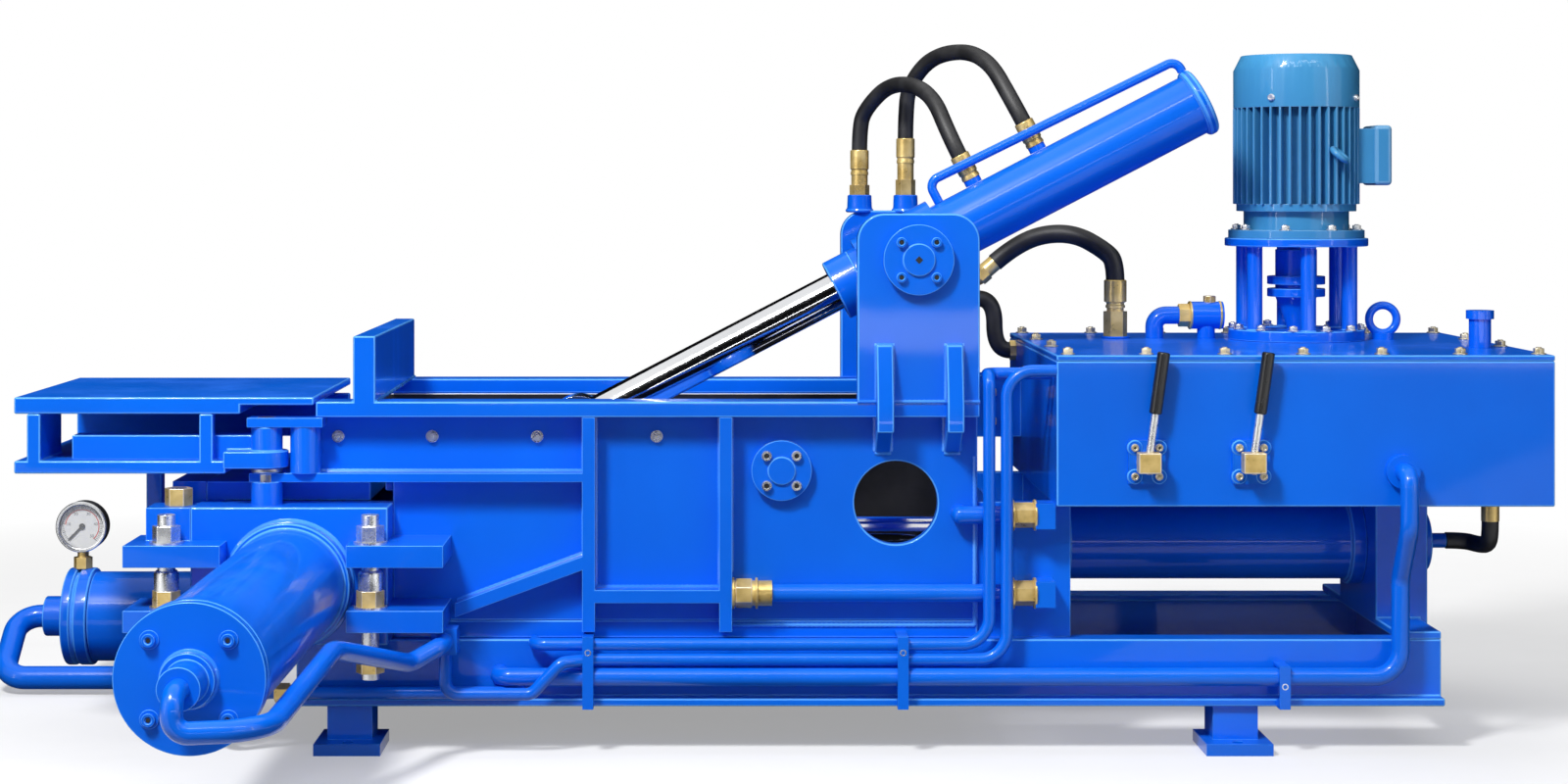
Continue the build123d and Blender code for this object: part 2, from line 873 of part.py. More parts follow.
with BuildPart() as main_barrel:
    for ring_left in (main_barrel_left, column_left - main_ring_width):
        bar((ring_left, 0, main_z), (ring_left + main_ring_width, 0, main_z), main_ring_radius)
    tube((main_barrel_left, 0, main_z), (column_right, 0, main_z), main_barrel_radius, main_bore_radius)
keep(main_barrel, "main_barrel")

with BuildPart() as rear_column:
    block((column_left, column_right), (-column_half, column_half), (base_top, tank_bottom))
    block((column_left, base_right), (-web_out, web_out), (base_top, base_top + column_plate))
    top_plate_y = column_half + column_plate
    top_plate_z = (tank_bottom - column_plate, tank_bottom)
    block((column_left, column_right), (-top_plate_y, top_plate_y), top_plate_z)
    seat_start = (column_left - overrun, 0, main_z)
    seat_radius = main_barrel_radius + pin_gap
    bar(seat_start, (column_right + overrun, 0, main_z), seat_radius, mode=Mode.SUBTRACT)
keep(rear_column, "rear_column")

with BuildPart() as main_rear_cap:
    cap_right = column_right + rear_cap_length
    bar((column_right, 0, main_z), (column_right + column_plate, 0, main_z), main_ring_radius)
    bar((column_right, 0, main_z), (cap_right, 0, main_z), rear_cap_radius)
    bar((cap_right, 0, main_z), (cap_right + rear_port_length, 0, main_z), rear_port_radius)
keep(main_rear_cap, "main_rear_cap")

with BuildPart() as main_rod:
    bar((ram_face + ram_wall + ram_wall, 0, main_z), (main_piston_x, 0, main_z), main_rod_radius)
    bar((main_piston_x - piston_width, 0, main_z), (main_piston_x, 0, main_z), main_bore_radius - run_gap)
keep(main_rod, "main_rod")

with BuildPart() as main_ram:
    ram_low = floor_top + slide_gap
    block((ram_face, ram_tail), (-lid_half, lid_half), (ram_low, ram_top))
    hollow_y = (-lid_half + ram_wall, lid_half - ram_wall)
    hollow_x = (ram_face + ram_wall + ram_wall, ram_tail + overrun)
    block(hollow_x, hollow_y, (ram_low + ram_wall, ram_top - ram_wall), mode=Mode.SUBTRACT)
keep(main_ram, "main_ram")

# Side press: collar, barrel, cap and ram
collar_front = head_front - side_collar_length
side_barrel_front = head_front - side_barrel_length
side_cap_front = side_barrel_front - side_cap_thick

with BuildPart() as side_barrel:
    bar((side_x, head_front, side_z), (side_x, side_barrel_front, side_z), side_barrel_radius)
    bar((side_x, head_front, side_z), (side_x, collar_front, side_z), side_collar_radius)
    side_bore_start = (side_x, head_front - side_collar_length / 2, side_z)
    side_bore_end = (side_x, side_barrel_front - overrun, side_z)
    bar(side_bore_start, side_bore_end, side_bore_radius, mode=Mode.SUBTRACT)
    rod_hole = side_rod_radius + run_gap
    bar((side_x, head_front + overrun, side_z), side_bore_start, rod_hole, mode=Mode.SUBTRACT)
keep(side_barrel, "side_barrel")

with BuildPart() as side_cap:
    groove_back = side_cap_front + side_cap_thick / 2
    groove_front = groove_back - side_groove
    boss_front = side_cap_front - side_boss_length
    neck_front = boss_front - side_neck_length
    for start, end, radius in (
        (side_barrel_front, groove_back, side_cap_radius),
        (groove_back, groove_front, side_cap_radius - side_groove),
        (groove_front, side_cap_front, side_cap_radius),
        (side_cap_front, boss_front, side_boss_radius),
        (boss_front, neck_front, side_neck_radius),
    ):
        bar((side_x, start, side_z), (side_x, end, side_z), radius)
    for quarter in range(4):
        angle = math.radians(45 + 90 * quarter)
        bolt_x = side_x + side_bolt_circle * math.cos(angle)
        bolt_z = side_z + side_bolt_circle * math.sin(angle)
        bolt_front = side_cap_front - cap_bolt_height
        bar((bolt_x, side_cap_front, bolt_z), (bolt_x, bolt_front, bolt_z), cap_bolt_radius)
keep(side_cap, "side_cap")

with BuildPart() as side_ram:
    platen_back = -wall_in + slide_gap + side_platen_thick
    platen_x = (side_x - bale_half + slide_gap, side_x + bale_half - slide_gap)
    block(platen_x, (-wall_in + slide_gap, platen_back), (floor_top + slide_gap, roof_bottom - slide_gap))
keep(side_ram, "side_ram")

with BuildPart() as side_rod:
    piston_y = head_front - side_piston_back
    bar((side_x, -wall_in + slide_gap, side_z), (side_x, piston_y, side_z), side_rod_radius)
    bar((side_x, piston_y + piston_width, side_z), (side_x, piston_y, side_z), side_bore_radius - run_gap)
keep(side_rod, "side_rod")


def clamp_lug(inner, reach, tail_from, tail_back, low):
    """Add one clamp lug: a plate in front of the head with a tail back to what carries it."""
    with BuildSketch(Plane.XY.offset(low)) as outline:
        with BuildLine():
            Polyline(
                (inner, head_front - lug_depth),
                (reach, head_front - lug_depth),
                (reach, tail_back),
                (tail_from, tail_back),
                (tail_from, head_front),
                (inner, head_front),
                close=True,
            )
        make_face()
    extrude(outline.sketch, amount=lug_thick)


# Clamp lugs on both sides of the side cylinder, drilled for the upright tie bolts, and the left block
tie_y = head_front - tie_back
tie_xs = (side_x - tie_left, side_x + tie_right)
with BuildPart() as clamp_lugs:
    for low in (lug_lower, lug_upper):
        clamp_lug(side_x + lug_inner, side_x + lug_reach, head_right, -wall_out, low)
        clamp_lug(side_x - lug_inner, side_x - lug_reach, head_left, -wall_out, low)
    for tie_x in tie_xs:
        hole_start = (tie_x, tie_y, lug_lower - overrun)
        bar(hole_start, (tie_x, tie_y, lug_upper + lug_thick + overrun), tie_radius, mode=Mode.SUBTRACT)
    lug_top = lug_upper + lug_thick
    block_left = head_left - side_block_width
    block_top = lug_top + side_block_height
    block((block_left, head_left), (head_front, -wall_out), (lug_top, block_top))
    arm_x = (box_left - side_arm_width, box_left)
    arm_low = roof_bottom - side_block_height / 2
    block(arm_x, (-wall_in, -wall_in + side_arm_length), (arm_low, roof_top))
keep(clamp_lugs, "clamp_lugs")

with BuildPart() as tie_bolts:
    for tie_x in tie_xs:
        bar((tie_x, tie_y, tie_bottom), (tie_x, tie_y, tie_top), tie_radius)
        nut((tie_x, tie_y, lug_top), nut_flats, nut_height, tie_radius)
    stud_x = head_left - side_nut_inset
    stud_y = (head_front - wall_out) / 2
    bar((stud_x, stud_y, block_top), (stud_x, stud_y, block_top + nut_height), tie_radius)
keep(tie_bolts, "tie_bolts")

with BuildPart() as brass_nuts:
    for tie_x in tie_xs:
        nut((tie_x, tie_y, lug_lower + lug_thick), nut_flats, nut_height, tie_radius)
        nut((tie_x, tie_y, low_nut_z), nut_flats, nut_height, tie_radius)
    nut((stud_x, stud_y, block_top), nut_flats, nut_height, tie_radius)
keep(brass_nuts, "brass_nuts")

# Bale gate: a plate behind the outlet, its pull lug, rod and cylinder
gate_left = chamber_left - gate_margin_left
gate_right = chamber_right + gate_margin_right
gate_front = wall_out + run_gap
gate_back = gate_front + gate_thick
lug_back = gate_cyl_y + gate_lug_margin
with BuildPart() as bale_gate:
    block((gate_left, gate_right), (gate_front, gate_back), (gate_bottom, gate_top))
    with BuildSketch(Plane.YZ.offset(gate_left)):
        with BuildLine():
            Polyline(
                (gate_back, gate_lug_top),
                (gate_back, gate_lug_low),
                (half + slide_gap, gate_lug_low),
                (half + slide_gap, gate_cyl_z - gate_lug_margin),
                (lug_back, gate_cyl_z - gate_lug_margin),
                (lug_back, gate_lug_top),
                close=True,
            )
        make_face()
    extrude(amount=gate_lug_length)
keep(bale_gate, "bale_gate")

with BuildPart() as gate_rod:
    bar((gate_left, gate_cyl_y, gate_cyl_z), (gate_piston_x, gate_cyl_y, gate_cyl_z), gate_rod_radius)
    gate_piston_end = (gate_piston_x + piston_width, gate_cyl_y, gate_cyl_z)
    bar((gate_piston_x, gate_cyl_y, gate_cyl_z), gate_piston_end, gate_bore_radius - run_gap)
keep(gate_rod, "gate_rod")

with BuildPart() as gate_barrel:
    barrel_start = (gate_barrel_left, gate_cyl_y, gate_cyl_z)
    tube(barrel_start, (bracket_left, gate_cyl_y, gate_cyl_z), gate_barrel_radius, gate_bore_radius)
keep(gate_barrel, "gate_barrel")

# End flange of the gate cylinder: a turned disc with a groove and a port boss
flange_left = gate_barrel_left - gate_flange_length
with BuildPart() as gate_flange:
    groove_right = gate_barrel_left - gate_flange_length / 2
    groove_left = groove_right - gate_groove
    flange_groove = gate_flange_radius - gate_groove
    for start, end, radius in (
        (gate_barrel_left, groove_right, gate_flange_radius),
        (groove_right, groove_left, flange_groove),
        (groove_left, flange_left, gate_flange_radius),
        (flange_left, flange_left - gate_boss_length, gate_boss_radius),
    ):
        bar((start, gate_cyl_y, gate_cyl_z), (end, gate_cyl_y, gate_cyl_z), radius)
keep(gate_flange, "gate_flange")

# Pressure gauge on the flange
gauge_x = gate_barrel_left - gate_flange_length / 2
gauge_z = gate_cyl_z + gate_flange_radius + gauge_rise
gauge_front = gate_cyl_y - gauge_depth / 2
with BuildPart() as gauge_case:
    bar((gauge_x, gauge_front, gauge_z), (gauge_x, gauge_front + gauge_depth, gauge_z), gauge_radius)
    dial_radius = gauge_radius - gauge_rim
    dial_y = gauge_front + gauge_rim + needle_thick + needle_thick
    dial_centre = (gauge_x, dial_y, gauge_z)
    bar((gauge_x, gauge_front - overrun, gauge_z), dial_centre, dial_radius, mode=Mode.SUBTRACT)
    bar(dial_centre, (gauge_x, dial_y - needle_thick, gauge_z), needle_hub / 2)
keep(gauge_case, "gauge_case")

with BuildPart() as gauge_needle:
    rest_turn = math.radians(needle_rest)
    needle_along = (-math.cos(rest_turn), 0, -math.sin(rest_turn))
    needle_foot = (gauge_x, dial_y - run_gap, gauge_z)
    with BuildSketch(Plane(needle_foot, x_dir=needle_along, z_dir=(0, -1, 0))):
        with Locations((needle_length / 2, 0)):
            Rectangle(needle_length, needle_width)
        Circle(needle_hub)
        Circle(needle_hub / 2 + pin_gap, mode=Mode.SUBTRACT)
    extrude(amount=needle_thick)
keep(gauge_needle, "gauge_needle")

with BuildPart() as gauge_glass:
    glass_back = gauge_front + needle_thick
    bar((gauge_x, gauge_front, gauge_z), (gauge_x, glass_back, gauge_z), dial_radius)
keep(gauge_glass, "gauge_glass")

# Swing table: top with a thin tongue, base plate, posts, back skirt and hinge arm
with BuildPart() as table_top_plate:
    deck_low = table_top - table_thick
    block((table_left, table_step), (table_front, table_back), (deck_low, table_top))
    block((table_step, table_right), (table_front, table_back), (table_top - tongue_thick, table_top))
keep(table_top_plate, "table_top_plate")

table_base_top = table_base_bottom + table_base_thick
first_post = table_left + table_post_inset
last_post = table_base_right - table_post_inset - table_post_width
with BuildPart() as table_frame:
    block((table_left, table_base_right), (table_front, table_back), (table_base_bottom, table_base_top))
    for post_x, post_depth in ((first_post, table_post_depth), (last_post, table_post_width)):
        post_span = (post_x, post_x + table_post_width)
        block(post_span, (table_front, table_front + post_depth), (table_base_top, deck_low))
    skirt_y = (table_back - table_skirt_thick, table_back)
    block((table_left, table_right), skirt_y, (table_base_top, deck_low))
    leg_x = (table_leg_x - table_leg_width / 2, table_leg_x + table_leg_width / 2)
    leg_y = (table_leg_y - table_leg_width / 2, table_leg_y + table_leg_width / 2)
    block(leg_x, leg_y, (table_base_bottom - table_leg_length, table_base_bottom))
keep(table_frame, "table_frame")

# Hinge arm: a box bar that runs from the table to a boss and rounded lug on the hinge pin
with BuildPart() as hinge_arm:
    bar_front = table_front + table_post_width
    bar_y = (bar_front, bar_front + table_bar_width)
    bar_span = (table_base_top, table_base_top + table_bar_height)
    block((table_bar_left, hinge_x), bar_y, bar_span)
    with BuildSketch(Plane.XY.offset(hinge_lug_bottom)):
        with Locations((hinge_x, hinge_y)):
            Circle(hinge_lug_radius)
        with Locations(((hinge_x + table_base_right) / 2, hinge_y)):
            Rectangle(hinge_x - table_base_right, hinge_lug_radius * 2)
    extrude(amount=hinge_lug_thick)
    boss_top = (hinge_x, hinge_y, hinge_plate_bottom - run_gap)
    bar((hinge_x, hinge_y, hinge_lug_bottom), boss_top, hinge_boss_radius)
    pin_start = (hinge_x, hinge_y, hinge_lug_bottom - overrun)
    pin_bore = hinge_pin_radius + pin_gap
    bar(pin_start, (hinge_x, hinge_y, rail_bottom), pin_bore, mode=Mode.SUBTRACT)
keep(hinge_arm, "hinge_arm")

# Hinge pin with the thrust washer under the arm
with BuildPart() as hinge_pin:
    bar(pin_low, (hinge_x, hinge_y, rail_bottom), hinge_pin_radius)
    washer_top = hinge_lug_bottom - run_gap
    bar((hinge_x, hinge_y, strip_bottom), (hinge_x, hinge_y, washer_top), hinge_boss_radius)
keep(hinge_pin, "hinge_pin")

# Oil tank: a welded box, its lid plate and the bolts round the lid
tank_lid_low = tank_top - tank_lid_thick
with BuildPart() as tank_body:
    block((tank_left, tank_right), (tank_front, tank_back), (tank_bottom, tank_lid_low))
    inner_x = (tank_left + tank_wall, tank_right - tank_wall)
    inner_y = (tank_front + tank_wall, tank_back - tank_wall)
    block(inner_x, inner_y, (tank_bottom + tank_wall, tank_lid_low + overrun), mode=Mode.SUBTRACT)
keep(tank_body, "tank_body")

with BuildPart() as tank_lid:
    block((tank_left, tank_right), (tank_front, tank_back), (tank_lid_low, tank_top))
keep(tank_lid, "tank_lid")

lever_face = tank_front - lever_plate_thick
with BuildPart() as tank_bolts:
    bolt_run = tank_right - tank_left - tank_bolt_inset - tank_bolt_inset
    bolt_depth = tank_back - tank_front - tank_bolt_inset - tank_bolt_inset
    for column in range(tank_bolt_columns):
        for row in range(tank_bolt_rows):
            if column in (0, tank_bolt_columns - 1) or row in (0, tank_bolt_rows - 1):
                bolt_x = tank_left + tank_bolt_inset + bolt_run * column / (tank_bolt_columns - 1)
                bolt_y = tank_front + tank_bolt_inset + bolt_depth * row / (tank_bolt_rows - 1)
                bolt_top = tank_top + tank_bolt_height
                bar((bolt_x, bolt_y, tank_top), (bolt_x, bolt_y, bolt_top), tank_bolt_radius)
    for lever_x in lever_xs:
        for side_along in (-1, 1):
            for side_up in (-1, 1):
                bolt_x = lever_x + side_along * lever_plate_width / 3
                bolt_z = lever_z + side_up * lever_plate_height / 3
                bolt_front = lever_face - lever_bolt_height
                bar((bolt_x, lever_face, bolt_z), (bolt_x, bolt_front, bolt_z), lever_bolt_radius)
keep(tank_bolts, "tank_bolts")

# Control levers: each turns on a spindle in front of its plate and carries a grip
hub_back = lever_face - run_gap
hub_front_y = hub_back - lever_hub_length
lever_tilt = math.radians(lever_lean)
lever_up = Vector(math.sin(lever_tilt), 0, math.cos(lever_tilt))
for name, lever_x in zip(("left", "right"), lever_xs):
    lever_middle = Vector(lever_x, (hub_back + hub_front_y) / 2, lever_z)
    rod_end = lever_middle + lever_up * lever_rod_length
    with BuildPart() as lever:
        bar((lever_x, hub_back, lever_z), (lever_x, hub_front_y, lever_z), lever_boss_radius)
        bar(lever_middle, rod_end, lever_rod_radius)
        spindle_bore = lever_boss_radius / 2 + pin_gap
        bore_back = (lever_x, hub_back + overrun, lever_z)
        bar(bore_back, (lever_x, hub_front_y - overrun, lever_z), spindle_bore, mode=Mode.SUBTRACT)
    keep(lever, "lever_" + name)
    with BuildPart() as grip:
        bar(rod_end, rod_end + lever_up * lever_grip_length, lever_grip_radius)
        fillet(grip.edges().filter_by(GeomType.CIRCLE), radius=lever_rod_radius / 2)
    keep(grip, "grip_" + name)

# Fittings painted with the tank: lever plates with spindles, breather, lifting eye, elbow and valve
valve_z = tank_top + valve_rise
valve_pipe_end = valve_x + valve_run
valve_body_left = valve_pipe_end + valve_nut_length
with BuildPart() as tank_fittings:
    for lever_x in lever_xs:
        plate_x = (lever_x - lever_plate_width / 2, lever_x + lever_plate_width / 2)
        plate_z = (lever_z - lever_plate_height / 2, lever_z + lever_plate_height / 2)
        block(plate_x, (lever_face, tank_front), plate_z)
        spindle_end = (lever_x, hub_front_y - lever_bolt_height, lever_z)
        bar((lever_x, lever_face, lever_z), spindle_end, lever_boss_radius / 2)
    breather_top = tank_top + breather_height
    bar((breather_x, breather_y, tank_top), (breather_x, breather_y, breather_top), breather_radius)
    breather_end = breather_top + breather_cap_height
    bar((breather_x, breather_y, breather_top), (breather_x, breather_y, breather_end), breather_cap_radius)
    bar((eyebolt_x, eyebolt_y, tank_top), (eyebolt_x, eyebolt_y, tank_top + eyebolt_stem), eyebolt_collar)
    eyebolt_centre = (eyebolt_x, eyebolt_y, tank_top + eyebolt_stem + eyebolt_ring)
    with Locations(Plane(eyebolt_centre, z_dir=(0, 1, 0)).location):
        Torus(eyebolt_ring, eyebolt_wire)
    pipe_run(
        ((valve_x, valve_y, tank_top), (valve_x, valve_y, valve_z), (valve_pipe_end, valve_y, valve_z)),
        short_bend,
        valve_pipe_radius,
    )
    valve_right = valve_body_left + valve_body_length
    bar((valve_body_left, valve_y, valve_z), (valve_right, valve_y, valve_z), valve_body_radius)
    valve_middle = (valve_body_left + valve_right) / 2
    bar((valve_middle, valve_y, tank_top), (valve_middle, valve_y, valve_z), valve_pipe_radius)
    plug_y = tank_front + plug_drop / 2
    plug_z = tank_top - plug_drop
    bar((tank_right, plug_y, plug_z), (tank_right + plug_length, plug_y, plug_z), plug_radius)
    outlet_face = tank_front - outlet_flange_thick
    bar((outlet_x, tank_front, outlet_z), (outlet_x, outlet_face, outlet_z), outlet_flange_radius)
keep(tank_fittings, "tank_fittings")

# Pump stand: base ring, round columns, top plate and the pump's flange inside the ring
stand_ring_top = tank_top + stand_ring_thick
stand_plate_low = stand_top - stand_plate_thick
with BuildPart() as motor_stand:
    ring_bore = stand_column_circle - stand_column_radius - slide_gap
    tube((motor_x, motor_y, tank_top), (motor_x, motor_y, stand_ring_top), stand_ring_radius, ring_bore)
    tube((motor_x, motor_y, stand_plate_low), (motor_x, motor_y, stand_top), stand_plate_radius, stand_bore)
    for number in range(stand_columns):
        angle = math.radians(360 * (number + 0.5) / stand_columns)
        column_x = motor_x + stand_column_circle * math.cos(angle)
        column_y = motor_y + stand_column_circle * math.sin(angle)
        column_foot = (column_x, column_y, stand_ring_top)
        bar(column_foot, (column_x, column_y, stand_plate_low), stand_column_radius)
    pump_top = tank_top + pump_height
    bar((motor_x, motor_y, tank_top), (motor_x, motor_y, pump_top), pump_radius)
keep(motor_stand, "motor_stand")

# Drive coupling between the motor and the pump
with BuildPart() as drive_coupling:
    coupling_low = pump_top + run_gap
    taper_top = coupling_low + taper_height
    disc_top = taper_top + disc_height
    with BuildSketch(Plane.XZ.offset(-motor_y)):
        with BuildLine():
            Polyline(
                (motor_x, coupling_low),
                (motor_x + shaft_radius, coupling_low),
                (motor_x + hub_radius, taper_top),
                (motor_x + disc_radius, taper_top),
                (motor_x + disc_radius, taper_top + disc_height * 2 / 5),
                (motor_x + hub_radius, taper_top + disc_height * 2 / 5),
                (motor_x + hub_radius, taper_top + disc_height * 3 / 5),
                (motor_x + disc_radius, taper_top + disc_height * 3 / 5),
                (motor_x + disc_radius, disc_top),
                (motor_x + hub_radius, disc_top),
                (motor_x + hub_radius, disc_top + hub_height),
                (motor_x + shaft_radius, disc_top + hub_height),
                (motor_x + shaft_radius, stand_top - run_gap),
                (motor_x, stand_top - run_gap),
                close=True,
            )
        make_face()
    revolve(axis=Axis((motor_x, motor_y, 0), (0, 0, 1)))
keep(drive_coupling, "drive_coupling")

# Motor: flange, end shield, finned body and terminal box, with the fan cowl on top
with BuildPart() as motor_body:
    level = stand_top
    for radius, height in (
        (motor_flange_radius, motor_flange_thick),
        (motor_shield_radius, motor_shield_height),
        (motor_ring_radius, motor_ring_height),
        (motor_body_radius, motor_body_height),
    ):
        bar((motor_x, motor_y, level), (motor_x, motor_y, level + height), radius)
        level = level + height
    with Locations((motor_x, motor_y, level - motor_body_height / 2)):
        with PolarLocations(motor_body_radius + fin_reach / 2, fin_count):
            Box(fin_reach + fin_thick, fin_thick, motor_body_height)
    box_right = motor_x + cowl_radius + box_width
    box_y = (motor_y - box_depth / 2, motor_y + box_depth / 2)
    box_middle = level - motor_body_height / 2
    box_z = (box_middle - box_height / 2, box_middle + box_height / 2)
    block((motor_x + motor_body_radius - fin_thick, box_right), box_y, box_z)
keep(motor_body, "motor_body")

with BuildPart() as motor_cowl:
    cowl_top = level + cowl_height
    inside = cowl_radius - cowl_wall
    with BuildSketch(Plane.XZ.offset(-motor_y)):
        with BuildLine():
            Polyline(
                (motor_x, cowl_top),
                (motor_x + cowl_radius - cowl_bevel / 2, cowl_top),
                (motor_x + cowl_radius, cowl_top - cowl_bevel),
                (motor_x + cowl_radius, level),
                (motor_x + inside, level),
                (motor_x + inside, cowl_top - cowl_bevel),
                (motor_x + inside - cowl_bevel / 2, cowl_top - cowl_wall),
                (motor_x, cowl_top - cowl_wall),
                close=True,
            )
        make_face()
    revolve(axis=Axis((motor_x, motor_y, 0), (0, 0, 1)))
keep(motor_cowl, "motor_cowl")

# Oil pipes on the frame: straight runs joined by bends, their end blocks, and the straps that hold them
first_run, second_run, third_run, fourth_run = run_levels
port_lane = -wall_out - port_nut_radius - run_gap
port_start = port_left + port_fitting
port_nut_right = port_nut_left + port_nut_length
port_boss_right = port_nut_right + port_boss_length
loop_lane = pipe_lane - loop_out
junction_z = lug_lower - junction_half
junction_front = loop_lane - junction_half
hose_block_right = press_right + hose_block_length
hose_block_y = half - tower_thick / 2
hose_block_low = hose_block_z - hose_block_height / 2
hose_block_span = (hose_block_low, hose_block_low + hose_block_height)
with BuildPart() as oil_pipes:
    first_back = pipe_lane + first_pipe_back
    pipe_run(
        (
            (tank_left, first_back, first_pipe_top),
            (first_pipe_x, first_back, first_pipe_top),
            (first_pipe_x, pipe_lane, first_pipe_top),
            (first_pipe_x, pipe_lane, first_run),
            (first_run_end, pipe_lane, first_run),
            (first_run_end, -web_out, first_run),
        ),
        (short_bend, short_bend, pipe_bend, short_bend),
        pipe_radius,
    )
    pipe_run(
        (
            (tank_left, pipe_lane, second_pipe_top),
            (second_pipe_x, pipe_lane, second_pipe_top),
            (second_pipe_x, pipe_lane, second_run),
            (loop_right + loop_slope, pipe_lane, second_run),
            (loop_right, loop_lane, second_run),
            (loop_right - loop_slope, loop_lane, loop_low),
            (junction_x, loop_lane, loop_low),
            (junction_x, loop_lane, junction_z - junction_half),
        ),
        (pipe_bend, pipe_bend, pipe_bend, short_bend, short_bend, short_bend),
        pipe_radius,
    )
    outlet_lane = outlet_face - outlet_reach
    pipe_run(
        (
            (outlet_x, outlet_face, outlet_z),
            (outlet_x, outlet_lane, outlet_z),
            (outlet_x, outlet_lane, outlet_z - outlet_drop),
            (outlet_x, pipe_lane, outlet_z - outlet_drop - outlet_drop),
            (outlet_x, pipe_lane, third_run),
            (outlet_end, pipe_lane, third_run),
            (outlet_end, -web_out, third_run),
        ),
        (short_bend, pipe_bend, pipe_bend, pipe_bend, short_bend),
        wide_pipe_radius,
    )
    side_lane = side_x + side_pipe_lane
    side_out = neck_front - side_pipe_out
    side_low = side_z - side_pipe_drop
    pipe_run(
        (
            (side_x, neck_front, side_z),
            (side_x, side_out, side_z),
            (side_x, side_out, side_low),
            (side_lane, side_out + side_pipe_step, side_low),
            (side_lane, head_front - side_pipe_turn, side_low),
            (junction_x - side_pipe_back, junction_front - side_pipe_rise, junction_z - side_pipe_dip),
            (junction_x, junction_front - side_pipe_rise / 2, junction_z),
            (junction_x, junction_front, junction_z),
        ),
        side_pipe_bends,
        wide_pipe_radius,
    )
    gate_boss_end = flange_left - gate_boss_length
    gate_pipe_y = gate_cyl_y - gate_pipe_forward
    pipe_run(
        (
            (gate_boss_end, gate_cyl_y, gate_cyl_z),
            (gate_boss_end - gate_pipe_out, gate_cyl_y, gate_cyl_z),
            (gate_boss_end - gate_pipe_out, gate_pipe_y, gate_pipe_floor),
            (gate_pipe_step, gate_pipe_y, gate_pipe_floor),
        ),
        gate_pipe_bend,
        gate_pipe_radius,
    )
    pipe_run(
        (
            (gate_pipe_step, gate_pipe_y, gate_pipe_floor),
            (gate_pipe_turn, gate_pipe_y, gate_pipe_floor),
            (gate_pipe_front, pipe_lane, gate_pipe_floor),
            (gate_pipe_front + gate_pipe_climb, pipe_lane, fourth_run),
            (union_left, pipe_lane, fourth_run),
        ),
        pipe_bend,
        pipe_radius,
    )
    union_right = union_left + union_length
    pipe_run(
        (
            (union_right, pipe_lane, fourth_run),
            (gate_pipe_end, pipe_lane, fourth_run),
            (gate_pipe_end, -web_out, fourth_run),
        ),
        short_bend,
        pipe_radius,
    )
    bar((port_start, port_lane, port_low_z), (port_nut_left, port_lane, port_low_z), wide_pipe_radius)
    bar((port_elbow_x, port_lane, port_high_z), (port_nut_left, port_lane, port_high_z), wide_pipe_radius)
    with Locations((port_elbow_x, port_lane, port_high_z)):
        Sphere(wide_pipe_radius)
    bar((port_elbow_x, port_lane, port_high_z), (port_elbow_x, -wall_out, port_high_z), wide_pipe_radius)
    for port_z in (port_low_z, port_high_z):
        boss_z = (port_z - port_boss_half, port_z + port_boss_half)
        boss_y = (port_lane - port_boss_half, -end_block_half)
        block((port_nut_right, port_boss_right), boss_y, boss_z)
    junction_span = (junction_x - junction_half, junction_x + junction_half)
    junction_deep = (junction_front, loop_lane + junction_half)
    block(junction_span, junction_deep, (junction_z - junction_half, lug_lower))
    block((press_right, hose_block_right), (half - tower_thick, half), hose_block_span)
    clip_back = pipe_lane - wide_pipe_radius - run_gap
    clip_front = clip_back - clip_thick
    leg_low = first_run + pipe_radius + run_gap
    for clip_x in clip_xs:
        clip_span = (clip_x - clip_width / 2, clip_x + clip_width / 2)
        block(clip_span, (clip_front, clip_back), (base_bottom, leg_low + clip_thick))
        block(clip_span, (clip_back, -wall_out), (leg_low, leg_low + clip_thick))
        block(clip_span, (clip_back, -half), (base_bottom, base_bottom + flange_thick))
    low_span = (low_clip_x - clip_width / 2, low_clip_x + clip_width / 2)
    leg_low = third_run + wide_pipe_radius + run_gap
    block(low_span, (clip_front, clip_back), (base_bottom, leg_low + clip_thick))
    block(low_span, (clip_back, -web_out), (leg_low, leg_low + clip_thick))
    block(low_span, (clip_back, -half), (base_bottom, base_bottom + flange_thick))
keep(oil_pipes, "oil_pipes")

# Pipe along the lid cylinder, and the two hose ports on its barrel
lid_port_up = lid_barrel_radius + lid_port_rise
with BuildPart() as lid_pipe:
    cap_middle = lid_barrel_rear + lid_cap_thick / 2
    pipe_run(
        (
            lid_point(lid_pipe_start, lid_barrel_radius),
            lid_point(lid_pipe_start, lid_barrel_radius + lid_pipe_rise),
            lid_point(cap_middle, lid_cap_radius + lid_pipe_back_rise),
            lid_point(cap_middle, lid_cap_radius),
        ),
        lid_pipe_bend,
        lid_pipe_radius,
    )
    for along in lid_port_alongs:
        port_foot = lid_point(along, lid_barrel_radius, lid_port_across)
        bar(port_foot, lid_point(along, lid_port_up, lid_port_across), lid_port_radius)
keep(lid_pipe, "lid_pipe")


def hose_end(start, end):
    """Add a hose end: a hexagon at its foot, then a round ferrule."""
    shoulder = Vector(*start) + (Vector(*end) - Vector(*start)) * ferrule_share
    hexagon(start, shoulder, hose_hex_radius)
    bar(shoulder, end, hose_fit_radius)


